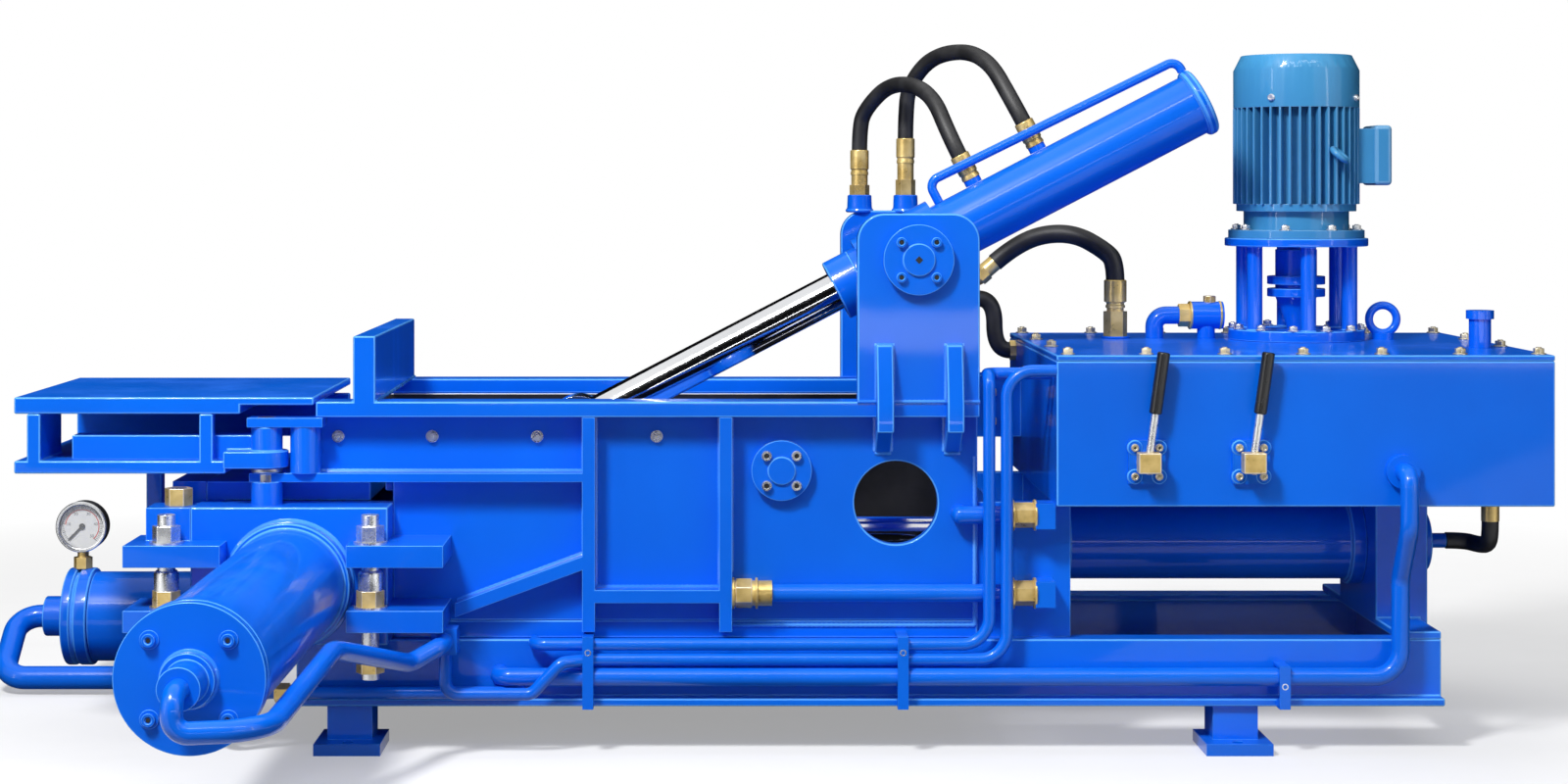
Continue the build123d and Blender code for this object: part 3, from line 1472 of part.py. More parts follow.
# Brass fittings: hose ends, pipe nuts and the gauge adapter
hose_fit_y = half - tower_thick / 2
tank_fit_top = tank_top + tank_fit_height
upper_fit_z = hose_block_z + hose_block_height / 4
lower_fit_z = hose_block_z - hose_block_height / 4
stub_end = hose_block_right + hose_stub_length
fit_corner = Vector(stub_end, hose_block_y, upper_fit_z)
fit_turn = math.radians(hose_fit_lean)
fit_out = Vector(math.cos(fit_turn), 0, math.sin(fit_turn)) * hose_fit_length
side_fit_end = tank_left - side_fit_length
drop_fit_low = tank_bottom - drop_fit_length
with BuildPart() as brass_fittings:
    for fit_x, fit_height in zip(tower_fit_xs, tower_fit_heights):
        hose_end((fit_x, hose_fit_y, tower_top), (fit_x, hose_fit_y, tower_top + fit_height))
    tank_fit_middle = (tank_top + tank_fit_top) / 2
    hexagon((tank_fit_x, tank_fit_y, tank_top), (tank_fit_x, tank_fit_y, tank_fit_middle), tank_fit_radius)
    bar((tank_fit_x, tank_fit_y, tank_fit_middle), (tank_fit_x, tank_fit_y, tank_fit_top), hose_fit_radius)
    bar((hose_block_right, hose_block_y, upper_fit_z), fit_corner, hose_fit_radius)
    with Locations(fit_corner):
        Sphere(hose_fit_radius)
    hose_end(fit_corner, fit_corner + fit_out)
    hose_end((hose_block_right, hose_block_y, lower_fit_z), (stub_end, hose_block_y, lower_fit_z))
    hexagon((tank_left, hose_block_y, side_fit_z), (side_fit_end, hose_block_y, side_fit_z), hose_hex_radius)
    hose_end((drop_fit_x, drop_fit_y, tank_bottom), (drop_fit_x, drop_fit_y, drop_fit_low))
    hexagon((valve_pipe_end, valve_y, valve_z), (valve_body_left, valve_y, valve_z), valve_nut_radius)
    bar((port_left, port_lane, port_low_z), (port_start, port_lane, port_low_z), port_nut_radius)
    for port_z in (port_low_z, port_high_z):
        nut_end = (port_nut_right, port_lane, port_z)
        hexagon((port_nut_left, port_lane, port_z), nut_end, port_nut_radius)
    hexagon((union_left, pipe_lane, fourth_run), (union_right, pipe_lane, fourth_run), union_radius)
    adapter_low = (gauge_x, gate_cyl_y, gate_cyl_z + gate_flange_radius)
    adapter_top = (gauge_x, gate_cyl_y, gate_cyl_z + gate_flange_radius + gauge_hex_height)
    hexagon(adapter_low, adapter_top, gauge_hex_radius)
    bar(adapter_top, (gauge_x, gate_cyl_y, gauge_z - gauge_radius), gauge_neck_radius)
keep(brass_fittings, "brass_fittings")


def hose(points):
    """Add a hose along a route chosen by hand."""
    pipe_run(points, soft_bends(points), hose_radius)


# Hoses from the rear tower to the ports on the lid cylinder
front_route = ((185, 335, 1330), (245, 260, 1395), (320, 110, 1370))
rear_route = ((288, 335, 1390), (345, 270, 1460), (440, 120, 1455))
for name, fit_x, fit_height, along, route in (
    ("hose_front", tower_fit_xs[0], tower_fit_heights[0], lid_port_alongs[0], front_route),
    ("hose_rear", tower_fit_xs[1], tower_fit_heights[1], lid_port_alongs[1], rear_route),
):
    with BuildPart() as lid_hose:
        fit_top = tower_top + fit_height
        hose(
            (
                (fit_x, hose_fit_y, fit_top),
                (fit_x, hose_fit_y, fit_top + hose_fit_length),
                *route,
                lid_point(along, lid_port_up + hose_fit_length, lid_port_across),
                lid_point(along, lid_port_up, lid_port_across),
            )
        )
    keep(lid_hose, name)

# Hoses that stay still: block to tank top, block to tank side, tank to main cylinder
with BuildPart() as tank_hoses:
    hose(
        (
            fit_corner + fit_out,
            fit_corner + fit_out + fit_out,
            (590, 312, 1046),
            (665, 278, 1048),
            (728, 244, 1010),
            (tank_fit_x, tank_fit_y, tank_fit_top + hose_fit_length),
            (tank_fit_x, tank_fit_y, tank_fit_top),
        )
    )
    pipe_run(
        (
            (stub_end, hose_block_y, lower_fit_z),
            (stub_end + hose_drop_out, hose_block_y, lower_fit_z),
            (stub_end + hose_drop_out, hose_block_y, side_fit_z),
            (side_fit_end, hose_block_y, side_fit_z),
        ),
        hose_bend,
        hose_radius,
    )
    rear_port_end = cap_right + rear_port_length
    hose(
        (
            (drop_fit_x, drop_fit_y, drop_fit_low),
            (drop_fit_x, drop_fit_y, 410),
            (1502, -75, 385),
            (1495, -25, 380),
            (1472, 0, main_z),
            (rear_port_end, 0, main_z),
        )
    )
keep(tank_hoses, "tank_hoses")
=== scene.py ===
# %% [markdown]
# # Dressing a blue scrap baler
# The solids of the baler come from its CAD model and are already at their real size and place.
# This lesson gives them paint, chrome, brass and rubber, rounds the edges of the plates, and adds
# what a welder and a fitter leave behind: weld beads, bolts, hose ends and a dial.

# %% Load the frame
import json
import math

import bmesh
import bpy
from mathutils import Matrix, Vector


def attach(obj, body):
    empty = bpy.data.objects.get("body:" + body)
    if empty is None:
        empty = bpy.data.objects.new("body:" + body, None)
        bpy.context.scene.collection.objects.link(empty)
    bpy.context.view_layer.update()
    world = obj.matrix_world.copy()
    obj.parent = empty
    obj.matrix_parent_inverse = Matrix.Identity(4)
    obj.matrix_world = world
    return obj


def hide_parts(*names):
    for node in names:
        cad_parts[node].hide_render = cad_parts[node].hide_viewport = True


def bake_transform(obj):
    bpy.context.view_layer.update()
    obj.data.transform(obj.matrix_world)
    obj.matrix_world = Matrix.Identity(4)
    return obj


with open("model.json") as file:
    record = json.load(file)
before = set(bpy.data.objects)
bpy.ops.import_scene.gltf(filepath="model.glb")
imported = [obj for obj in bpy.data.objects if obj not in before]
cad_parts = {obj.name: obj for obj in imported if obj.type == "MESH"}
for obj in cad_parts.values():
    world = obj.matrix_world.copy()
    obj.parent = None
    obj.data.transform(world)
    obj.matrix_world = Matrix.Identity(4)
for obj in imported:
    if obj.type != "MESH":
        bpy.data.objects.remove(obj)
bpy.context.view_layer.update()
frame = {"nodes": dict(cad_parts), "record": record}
scene = bpy.context.scene
nodes_of_body = frame["record"]["behaviour"]["bodies"]
body_of_node = {node: body for body, nodes in nodes_of_body.items() for node in nodes}

# %% [markdown]
# The photograph looks straight at the front of the machine, so all upright lines stay upright.
# A shifted lens gives that: the camera looks level along +Y, and the shift moves the picture down
# and to the right without tilting anything. The numbers are the place of the lens in metres and
# the picture point that lies straight ahead of it.

# %% Set up the camera
picture_size = (1600, 800)
straight_ahead = (723, 190)
lens_place = (-0.172, -5.76, 1.156)
front_plane = -0.36
metres_per_pixel = 0.002
film_width = 36.0

camera_data = bpy.data.cameras.new("camera")
camera_data.sensor_width = film_width
front_distance = front_plane - lens_place[1]
camera_data.lens = film_width * front_distance / (metres_per_pixel * picture_size[0])
camera_data.shift_x = (picture_size[0] / 2 - straight_ahead[0]) / picture_size[0]
camera_data.shift_y = (straight_ahead[1] - picture_size[1] / 2) / picture_size[0]
camera = bpy.data.objects.new("camera", camera_data)
camera.location = lens_place
camera.rotation_euler = (math.radians(90), 0, 0)
scene.collection.objects.link(camera)
scene.camera = camera
scene.view_settings.view_transform = "Standard"
shift = (round(camera_data.shift_x, 3), round(camera_data.shift_y, 3))
print("lens", round(camera_data.lens, 2), "mm, shift", shift)

# %% [markdown]
# A shader is a small sum over many inputs, and such sums read best as Python expressions.
# `Wire` wraps one socket of a node tree. Adding, taking away or multiplying wires adds Math nodes,
# and `Finish.node` adds every other kind of node, with its settings first and its sockets after.

# %% Wrap the shader sockets
class Wire:
    """One output socket that can stand in a Python sum."""

    def __init__(self, finish, socket):
        self.finish = finish
        self.socket = socket

    def math(self, operation, *values):
        return self.finish.node("ShaderNodeMath", {"operation": operation}, dict(enumerate(values)))

    def __add__(self, other):
        return self.math("ADD", self, other)

    def __radd__(self, other):
        return self.math("ADD", other, self)

    def __rsub__(self, other):
        return self.math("SUBTRACT", other, self)

    def __mul__(self, other):
        return self.math("MULTIPLY", self, other)

    def __rmul__(self, other):
        return self.math("MULTIPLY", other, self)

    def over(self, edge, softness):
        """Give 0 under an edge and 1 above it, with a soft step between."""
        settings = {"interpolation_type": "SMOOTHSTEP"}
        sockets = {"Value": self, "From Min": edge - softness, "From Max": edge + softness}
        return self.finish.node("ShaderNodeMapRange", settings, sockets)


class Finish:
    """A material or world that is built from nodes."""

    def __init__(self, owner):
        self.owner = owner
        owner.use_nodes = True
        self.tree = owner.node_tree
        self.tree.nodes.clear()

    def node(self, kind, settings, sockets, output=0):
        added = self.tree.nodes.new(kind)
        for setting, value in settings.items():
            if setting == "stops":
                ramp = added.color_ramp.elements
                while len(ramp) < len(value):
                    ramp.new(0.5)
                for stop, (place, colour) in zip(ramp, value):
                    stop.position = place
                    stop.color = (*colour, 1)
            else:
                setattr(added, setting, value)
        for name, value in sockets.items():
            if isinstance(value, Wire):
                self.tree.links.new(value.socket, added.inputs[name])
            else:
                added.inputs[name].default_value = value
        return Wire(self, added.outputs[output]) if added.outputs else None

    def place(self):
        """Give the place on the piece, in metres."""
        return self.node("ShaderNodeTexCoord", {}, {}, "Object")

    def noise(self, scale, detail=3.0, roughness=0.5, stretch=(1, 1, 1)):
        vector = self.node("ShaderNodeMapping", {}, {"Vector": self.place(), "Scale": stretch})
        sockets = {"Vector": vector, "Scale": scale, "Detail": detail, "Roughness": roughness}
        return self.node("ShaderNodeTexNoise", {}, sockets)

    def mix(self, amount, first, second):
        sockets = {"Factor": amount, 6: first, 7: second}
        return self.node("ShaderNodeMix", {"data_type": "RGBA"}, sockets, 2)

    def bump(self, height, depth, strength=1.0):
        return self.node("ShaderNodeBump", {}, {"Height": height, "Distance": depth, "Strength": strength})

    def surface(self, sockets):
        shader = self.node("ShaderNodeBsdfPrincipled", {}, sockets)
        self.node("ShaderNodeOutputMaterial", {}, {"Surface": shader})
        return self.owner


def new_finish(name):
    return Finish(bpy.data.materials.new(name))


print("shader classes ready")

# %% [markdown]
# The machine stands on plain white in the photograph. The world is white for what is seen straight,
# in a mirror or through glass, but it lights the object softly, with more light from above.

# %% Set the world
white = (1, 1, 1, 1)


def seen_directly(finish):
    """Give 1 for rays that show the background itself: straight, mirrored or through glass."""
    paths = [finish.node("ShaderNodeLightPath", {}, {}, name) for name in
             ("Is Camera Ray", "Is Glossy Ray", "Is Transmission Ray")]
    return paths[0].math("MAXIMUM", paths[0].math("MAXIMUM", paths[0], paths[1]), paths[2])


sky = Finish(bpy.data.worlds.new("studio"))
scene.world = sky.owner
sky_way = sky.node("ShaderNodeTexCoord", {}, {}, "Generated")
up = sky.node("ShaderNodeSeparateXYZ", {}, {"Vector": sky_way}, 2)
sky_stops = [(0.0, (0.12, 0.12, 0.13)), (0.5, (0.34, 0.35, 0.37)), (1.0, (0.95, 0.96, 1.0))]
sky_colour = sky.node("ShaderNodeValToRGB", {"stops": sky_stops}, {"Fac": up * 0.5 + 0.5})
soft_light = sky.node("ShaderNodeBackground", {}, {"Color": sky_colour, "Strength": 0.09})
clean_white = sky.node("ShaderNodeBackground", {}, {"Color": white, "Strength": 1.0})
sky_mix = sky.node("ShaderNodeMixShader", {}, {0: seen_directly(sky), 1: soft_light, 2: clean_white})
sky.node("ShaderNodeOutputWorld", {}, {"Surface": sky_mix})
print("world", scene.world.name)

# %% [markdown]
# The floor is a real surface that takes the shadow near the feet and fades into white further out.
# To light that bounces it is a dim grey, so that it does not fill the hollows of the machine.

# %% Lay the floor
floor_reach = 60.0
fade_from = 2.2
fade_to = 4.2
floor_mesh = bpy.data.meshes.new("floor")
floor_shape = bmesh.new()
bmesh.ops.create_grid(floor_shape, x_segments=1, y_segments=1, size=floor_reach)
floor_shape.to_mesh(floor_mesh)
floor_shape.free()
floor = bpy.data.objects.new("floor", floor_mesh)
scene.collection.objects.link(floor)
pale = new_finish("pale_floor")
far = pale.node("ShaderNodeVectorMath", {"operation": "LENGTH"}, {0: pale.place()}, "Value")
fade = pale.node("ShaderNodeMapRange", {}, {"Value": far, "From Min": fade_from, "From Max": fade_to})
grit = pale.noise(9.0)
floor_colour = pale.mix(grit, (0.86, 0.86, 0.86, 1), (0.9, 0.9, 0.9, 1))
matt = pale.node("ShaderNodeBsdfDiffuse", {}, {"Color": floor_colour})
glow = pale.node("ShaderNodeEmission", {}, {"Color": white, "Strength": 1.0})
lifted = pale.node("ShaderNodeMixShader", {}, {0: 0.35, 1: matt, 2: glow})
faded = pale.node("ShaderNodeMixShader", {}, {0: fade, 1: lifted, 2: glow})
dim = pale.node("ShaderNodeBsdfDiffuse", {}, {"Color": (0.24, 0.24, 0.24, 1)})
shown = pale.node("ShaderNodeMixShader", {}, {0: seen_directly(pale), 1: dim, 2: faded})
pale.node("ShaderNodeOutputMaterial", {}, {"Surface": shown})
floor_mesh.materials.append(pale.owner)
print("floor", 2 * floor_reach, "m wide, white from", fade_to, "m out")

# %% [markdown]
# Deep gloss blue needs something dark to mirror, as in a studio with black cloth round the set.
# That cloth stands out of the picture and shows only in reflections. It has two gaps, left and
# right of the lens.

# %% Hang the dark cloth
curtain_near = 0.3
curtain_far = 8.0
curtain_height = 10.0
curtain_arcs = ((-118, 56), (-10, 200))
curtain_shape = bmesh.new()
for first_angle, arc in curtain_arcs:
    turn = Matrix.Rotation(math.radians(first_angle), 4, "Z")
    profile = [(curtain_near, 0, 0.004), (curtain_far, 0, 0.004), (curtain_far, 0, curtain_height)]
    rim = [curtain_shape.verts.new(turn @ Vector(point)) for point in profile]
    edges = [curtain_shape.edges.new(pair) for pair in zip(rim, rim[1:])]
    bmesh.ops.spin(
        curtain_shape, geom=rim + edges, cent=(0, 0, 0), axis=(0, 0, 1), angle=math.radians(arc), steps=24,
        use_merge=False,
    )
curtain_mesh = bpy.data.meshes.new("curtain")
curtain_shape.to_mesh(curtain_mesh)
curtain_shape.free()
curtain = bpy.data.objects.new("curtain", curtain_mesh)
scene.collection.objects.link(curtain)
cloth = new_finish("dark_cloth")
cloth_colour = cloth.mix(cloth.noise(3.0), (0.012, 0.012, 0.014, 1), (0.02, 0.02, 0.024, 1))
cloth_shader = cloth.node("ShaderNodeBsdfDiffuse", {}, {"Color": cloth_colour})
cloth.node("ShaderNodeOutputMaterial", {}, {"Surface": cloth_shader})
curtain_mesh.materials.append(cloth.owner)
curtain.visible_camera = False
curtain.visible_diffuse = False
curtain.visible_shadow = False
curtain.visible_transmission = False
print("cloth in", len(curtain_arcs), "arcs")

# %% [markdown]
# A square key lamp high on the left lights the front and throws shadows under the ledges. Four
# narrow strip lamps put the long bright streaks on round parts. The lamps above and behind only
# lift the tops and the back, and gloss does not show them.

# %% Hang the lamps
def softbox(name, place, size, power, mirrored):
    """Hang a lamp of a width and height that faces the machine, and say whether gloss shows it."""
    lamp_data = bpy.data.lights.new(name, "AREA")
    lamp_data.shape = "RECTANGLE"
    lamp_data.size, lamp_data.size_y = size
    lamp_data.energy = power
    lamp = bpy.data.objects.new(name, lamp_data)
    lamp.location = place
    lamp.rotation_euler = (object_middle - Vector(place)).to_track_quat("-Z", "Y").to_euler()
    lamp.visible_glossy = mirrored
    scene.collection.objects.link(lamp)


object_middle = Vector((0, -0.2, 0.7))
softbox("key_lamp", (-2.3, -4.0, 5.4), (1.0, 1.0), 410, True)
softbox("long_strip", (0.4, -4.2, 4.6), (8.0, 0.4), 115, True)
softbox("left_strip", (-4.6, -3.6, 1.6), (0.3, 3.4), 24, True)
softbox("right_strip", (4.8, -3.4, 1.6), (0.3, 3.4), 20, True)
softbox("low_strip", (0.9, -4.0, 0.66), (4.0, 0.14), 9, True)
softbox("top_lamp", (0.3, 0.6, 4.6), (3.0, 3.0), 70, False)
softbox("rear_lamp", (1.5, 4.2, 3.2), (2.6, 2.6), 80, False)
print(len(bpy.data.lights), "lamps")

# %% [markdown]
# Nearly everything is one gloss enamel. Sprayed enamel is never one flat colour: the coat is a
# little thicker here and thinner there, its skin has a fine orange peel, hands leave dull smears,
# and dust lies on what faces up. The rounded edge strips get a painted highlight, a lighter colour.
# The edge mask comes with the mesh: the helper that rounds an edge marks its new faces.

# %% Mix the enamels
def upward(finish):
    """Give 1 on a surface that faces up, and less as it tips."""
    normal = finish.node("ShaderNodeNewGeometry", {}, {}, "Normal")
    return finish.node("ShaderNodeSeparateXYZ", {}, {"Vector": normal}, 2)


def enamel(name, deep, bright, edge_highlight_colour, roughness, coat, dust_share):
    """Make a sprayed gloss paint, with a painted highlight on its rounded edges."""
    paint = new_finish(name)
    cloud = paint.noise(1.7, 4.0)
    smear = paint.noise(6.0, 5.0, 0.62, (1.0, 1.0, 0.3))
    peel = paint.noise(330.0, 2.0)
    ripple = paint.noise(21.0, 2.0)
    edge = paint.node("ShaderNodeAttribute", {"attribute_name": "edge"}, {}, "Fac")
    dust = upward(paint).over(0.8, 0.15) * smear.over(0.52, 0.16) * dust_share
    colour = paint.mix(cloud.over(0.5, 0.22), deep, bright)
    # painted highlight: the rounded edge strips are mixed towards a lighter colour
    colour = paint.mix(edge * 0.75, colour, edge_highlight_colour)
    colour = paint.mix(dust, colour, (0.30, 0.33, 0.38, 1))
    skin = peel * 0.35 + ripple
    return paint.surface({
        "Base Color": colour,
        "Roughness": roughness + 0.12 * smear + 0.3 * dust,
        "Coat Weight": coat - 0.5 * coat * smear.over(0.6, 0.1),
        "Coat Roughness": 0.05,
        "Specular IOR Level": 0.2,
        "Normal": paint.bump(skin, 0.0004, 0.4),
    })


blue_deep = (0.0006, 0.122, 0.72, 1)
blue_bright = (0.0008, 0.152, 0.84, 1)
# a lighter blue, the colour of the painted highlight on rounded edges
blue_edge_highlight = (0.11, 0.44, 1.0, 1)
blue_paint = enamel("blue_paint", blue_deep, blue_bright, blue_edge_highlight, 0.26, 0.4, 0.05)
# weld beads take the lighter blues: a painted highlight along each bead
weld_highlight_paint = enamel("weld_highlight_paint", blue_bright, blue_edge_highlight, blue_edge_highlight, 0.2, 0.9, 0.05)
motor_deep = (0.042, 0.235, 0.48, 1)
motor_bright = (0.058, 0.30, 0.58, 1)
# a lighter colour for the painted highlight on the motor's rounded edges
motor_edge_highlight = (0.16, 0.38, 0.62, 1)
motor_paint = enamel("motor_paint", motor_deep, motor_bright, motor_edge_highlight, 0.3, 0.5, 0.2)
case_deep = (0.012, 0.012, 0.013, 1)
case_bright = (0.02, 0.02, 0.021, 1)
# the grey is the painted highlight on the rounded edges of the gauge case
gauge_enamel = enamel("gauge_black", case_deep, case_bright, (0.1, 0.1, 0.1, 1), 0.25, 0.3, 0.15)
print("enamels", blue_paint.name, weld_highlight_paint.name, motor_paint.name, gauge_enamel.name)

# %% [markdown]
# Bare metals are told apart by colour, by how they were worked and by what time did to them.
# Chrome is smooth with a few hair scratches along the rod, zinc is a soft grey with a cloudy
# bloom, rubbed steel has long scores, and brass has turning marks. On all of them the rounded
# edges get a painted highlight, a colour mixed towards near white.

# %% Mix the metals
def bare_metal(name, dull, bright, shine, roughness, cloud_scale, scratch_stretch):
    """Make an uncoated metal with a cloudy tone, fine scratches that run one way and a painted highlight on
    rounded edges.
    """
    metal = new_finish(name)
    cloud = metal.noise(cloud_scale, 4.0)
    scratch = metal.noise(38.0, 3.0, 0.6, scratch_stretch)
    edge = metal.node("ShaderNodeAttribute", {"attribute_name": "edge"}, {}, "Fac")
    colour = metal.mix(cloud.over(0.5, 0.25), dull, bright)
    # painted highlight: the rounded edge strips are mixed towards near white
    colour = metal.mix(edge * 0.4, colour, (0.9, 0.9, 0.9, 1))
    return metal.surface({
        "Base Color": colour,
        "Metallic": shine,
        "Roughness": roughness + roughness * cloud + 0.08 * scratch.over(0.62, 0.06),
        "Normal": metal.bump(scratch, 0.0001, 0.3),
    })


hard_chrome = bare_metal(
    "hard_chrome", (0.70, 0.71, 0.73, 1), (0.82, 0.83, 0.85, 1), 1.0, 0.05, 5.0, (1, 12, 12),
)
zinc_steel = bare_metal(
    "zinc_steel", (0.56, 0.57, 0.58, 1), (0.74, 0.75, 0.75, 1), 0.85, 0.18, 40.0, (6, 6, 6),
)
yellow_zinc = bare_metal(
    "yellow_zinc", (0.52, 0.43, 0.24, 1), (0.76, 0.68, 0.48, 1), 0.8, 0.2, 40.0, (6, 6, 6),
)
worn_steel = bare_metal(
    "worn_steel", (0.30, 0.30, 0.31, 1), (0.50, 0.50, 0.51, 1), 0.9, 0.24, 6.0, (1, 9, 9),
)
brass = bare_metal(
    "brass", (0.60, 0.41, 0.12, 1), (0.88, 0.66, 0.26, 1), 0.5, 0.2, 30.0, (1, 1, 14),
)
print("metals", hard_chrome.name, zinc_steel.name, yellow_zinc.name, worn_steel.name, brass.name)

# %% [markdown]
# Hose rubber and grip plastic are both black, but rubber is matt with a cloth-wrapped skin and a
# grey bloom, while a moulded grip is shiny where hands polish it. Gauge glass is clear.

# %% Mix rubber, plastic and glass
def black_stuff(name, colour, bloom, roughness, grain_scale, grain_depth):
    """Make a black rubber or plastic with a bloom and a fine grain."""
    stuff = new_finish(name)
    cloud = stuff.noise(18.0, 4.0)
    grain = stuff.noise(grain_scale, 2.0)
    return stuff.surface({
        "Base Color": stuff.mix(cloud.over(0.58, 0.2), colour, bloom),
        "Roughness": roughness + 0.15 * cloud,
        "Normal": stuff.bump(grain, grain_depth, 0.6),
    })


hose_rubber = black_stuff(
    "hose_rubber", (0.010, 0.010, 0.011, 1), (0.028, 0.028, 0.030, 1), 0.42, 420.0, 0.0006,
)
black_grip = black_stuff(
    "black_grip", (0.008, 0.008, 0.009, 1), (0.014, 0.014, 0.015, 1), 0.18, 260.0, 0.0002,
)
needle_black = black_stuff(
    "needle_black", (0.01, 0.01, 0.01, 1), (0.02, 0.02, 0.02, 1), 0.4, 300.0, 0.0001,
)

glass_finish = new_finish("clear_glass")
smudge = glass_finish.noise(30.0)
clear_glass = glass_finish.surface({
    "Base Color": (0.95, 0.97, 0.98, 1),
    "Roughness": 0.02 + 0.05 * smudge.over(0.6, 0.1),
    "Alpha": 0.06 + 0.05 * smudge,
    "Specular IOR Level": 0.6,
})
finish_of_slot = {
    "blue_paint": blue_paint,
    "motor_paint": motor_paint,
    "worn_steel": worn_steel,
    "zinc_steel": zinc_steel,
    "hard_chrome": hard_chrome,
    "brass": brass,
    "hose_rubber": hose_rubber,
    "black_grip": black_grip,
    "gauge_black": gauge_enamel,
    "needle_black": needle_black,
    "clear_glass": clear_glass,
}
slot_of_node = {entry["node"]: entry["material_slot"] for entry in frame["record"]["subparts"]}
slot_of_node["drive_coupling"] = "blue_paint"
print("finishes for", len(finish_of_slot), "slots")

# %% [markdown]
# A CAD solid has knife-sharp edges, and nothing in a workshop does: flame-cut plate is ground,
# castings are rounded, turned parts are chamfered. The helpers copy a solid's mesh, merge its
# loose triangles, melt flat neighbours into one face and bevel every edge that is sharp.
# The new strips are marked, so that the finishes can paint a highlight there in a lighter colour.

# %% Write the helpers for edges
merge_distance = 0.00002
flat_angle = math.radians(1.0)
sharp_angle = math.radians(38.0)
plate_edge = 0.0035


def finished_piece(name, shape, finish, body):
    """Turn a shape into a piece that rides on a body."""
    for face in shape.faces:
        face.smooth = True
    mesh = bpy.data.meshes.new(name)
    shape.to_mesh(mesh)
    shape.free()
    mesh.set_sharp_from_angle(angle=sharp_angle)
    mesh.materials.append(finish)
    piece = bpy.data.objects.new(name, mesh)
    scene.collection.objects.link(piece)
    flats = piece.modifiers.new("flats", "WEIGHTED_NORMAL")
    flats.keep_sharp = True
    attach(piece, body)
    return piece


def round_edges(shape, width, steps=2):
    """Bevel every sharp edge of a shape and mark the new strips for the painted edge highlight."""
    marks = shape.faces.layers.float.new("edge")
    sharp = [edge for edge in shape.edges if edge.is_manifold and edge.calc_face_angle() > sharp_angle]
    strips = bmesh.ops.bevel(
        shape, geom=sharp, offset=width, offset_type="OFFSET", segments=steps, profile=0.5,
        affect="EDGES", clamp_overlap=True, material=-1,
    )
    # the marked strips later take the painted edge highlight
    for face in strips["faces"]:
        face[marks] = 1.0


def solid_copy(node):
    """Copy a node's mesh, with doubles merged and flat neighbours melted together."""
    shape = bmesh.new()
    shape.from_mesh(frame["nodes"][node].data)
    bmesh.ops.remove_doubles(shape, verts=shape.verts[:], dist=merge_distance)
    bmesh.ops.dissolve_limit(shape, angle_limit=flat_angle, verts=shape.verts[:], edges=shape.edges[:])
    return shape


def dress(node, width):
    """Replace a node by its copy with rounded edges and a finish."""
    shape = solid_copy(node)
    round_edges(shape, width)
    slot = slot_of_node[node]
    piece = finished_piece("dressed_" + node, shape, finish_of_slot[slot], body_of_node[node])
    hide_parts(node)
    return piece


print("plates get edges of", plate_edge * 1000, "mm")

# %% [markdown]
# Plates share one width of edge, and finer parts have their own. The hoses are drawn afresh later.

# %% Round the edges of every solid
edge_of_node = {
    "gauge_case": 0.002,
    "gauge_needle": 0.0004,
    "gauge_glass": 0.0006,
    "grip_left": 0.0002,
    "grip_right": 0.0002,
    "brass_fittings": 0.0015,
    "brass_nuts": 0.002,
    "tank_bolts": 0.0015,
    "tie_bolts": 0.002,
    "oil_pipes": 0.0015,
    "lever_left": 0.001,
    "lever_right": 0.001,
    "tank_lid": 0.003,
    "motor_body": 0.0008,
    "motor_cowl": 0.0012,
    "drive_coupling": 0.0015,
    "tank_fittings": 0.0015,
    "bearing_caps": 0.002,
    "main_rod": 0.001,
    "lid_rod": 0.002,
}
own_pieces = {"hose_front", "hose_rear", "tank_hoses"}
dressed = {}
for node in sorted(frame["nodes"]):
    if node not in own_pieces:
        dressed[node] = dress(node, edge_of_node.get(node, plate_edge))
print("rounded", len(dressed), "solids")

# %% [markdown]
# Scrap rubs the inside of the press box bare. The faces inside the walls and on the floor get this
# second finish: bare steel in a near-black colour that is painted shade, so the sight hole looks into a dark
# box.

# %% Paint shade inside the box
# near-black colour: painted shade inside the box
shaded_bare_steel = bare_metal(
    "shaded_bare_steel", (0.010, 0.010, 0.012, 1), (0.030, 0.030, 0.034, 1), 0.7, 0.34, 8.0, (1, 9, 9),
)
wall_inside = 0.281
dark_faces = 0
for node in ("front_wall", "rear_wall", "floor_plate"):
    mesh = dressed[node].data
    mesh.materials.append(shaded_bare_steel)
    for face in mesh.polygons:
        if abs(face.center.y) < wall_inside:
            face.material_index = 1
            dark_faces += 1
print("dark faces inside", dark_faces)

# %% [markdown]
# A hydraulic hose is thick rubber round steel wire, so it swings in one wide stiff curve between
# its two ends. A NURBS spline over a few given points draws such a curve. It is made into a mesh.
# On the machine the two hoses at the lid cylinder bend when that cylinder tips.

# %% Lay the hoses
mm = 0.001
lid_hose_diameter = 36 * mm
trunnion_x = 256
trunnion_z = 1006
lid_trunnion = Vector((trunnion_x, 0, trunnion_z)) * mm
lid_tilt = math.radians(27.5)
front_port = 207
rear_port = 365
port_across = 25
hose_y = 340
front_hose_x = 176
rear_hose_x = 282
return_x = 749
return_y = 232


def lid_point(along, up, across):
    """Give a place that is stated along, above and across the tipped lid cylinder, in millimetres."""
    along_way = Vector((math.cos(lid_tilt), 0, math.sin(lid_tilt)))
    up_way = Vector((-math.sin(lid_tilt), 0, math.cos(lid_tilt)))
    return lid_trunnion + (along * along_way + up * up_way + Vector((0, across, 0))) * mm


def places(*points):
    return [Vector(point) * mm for point in points]


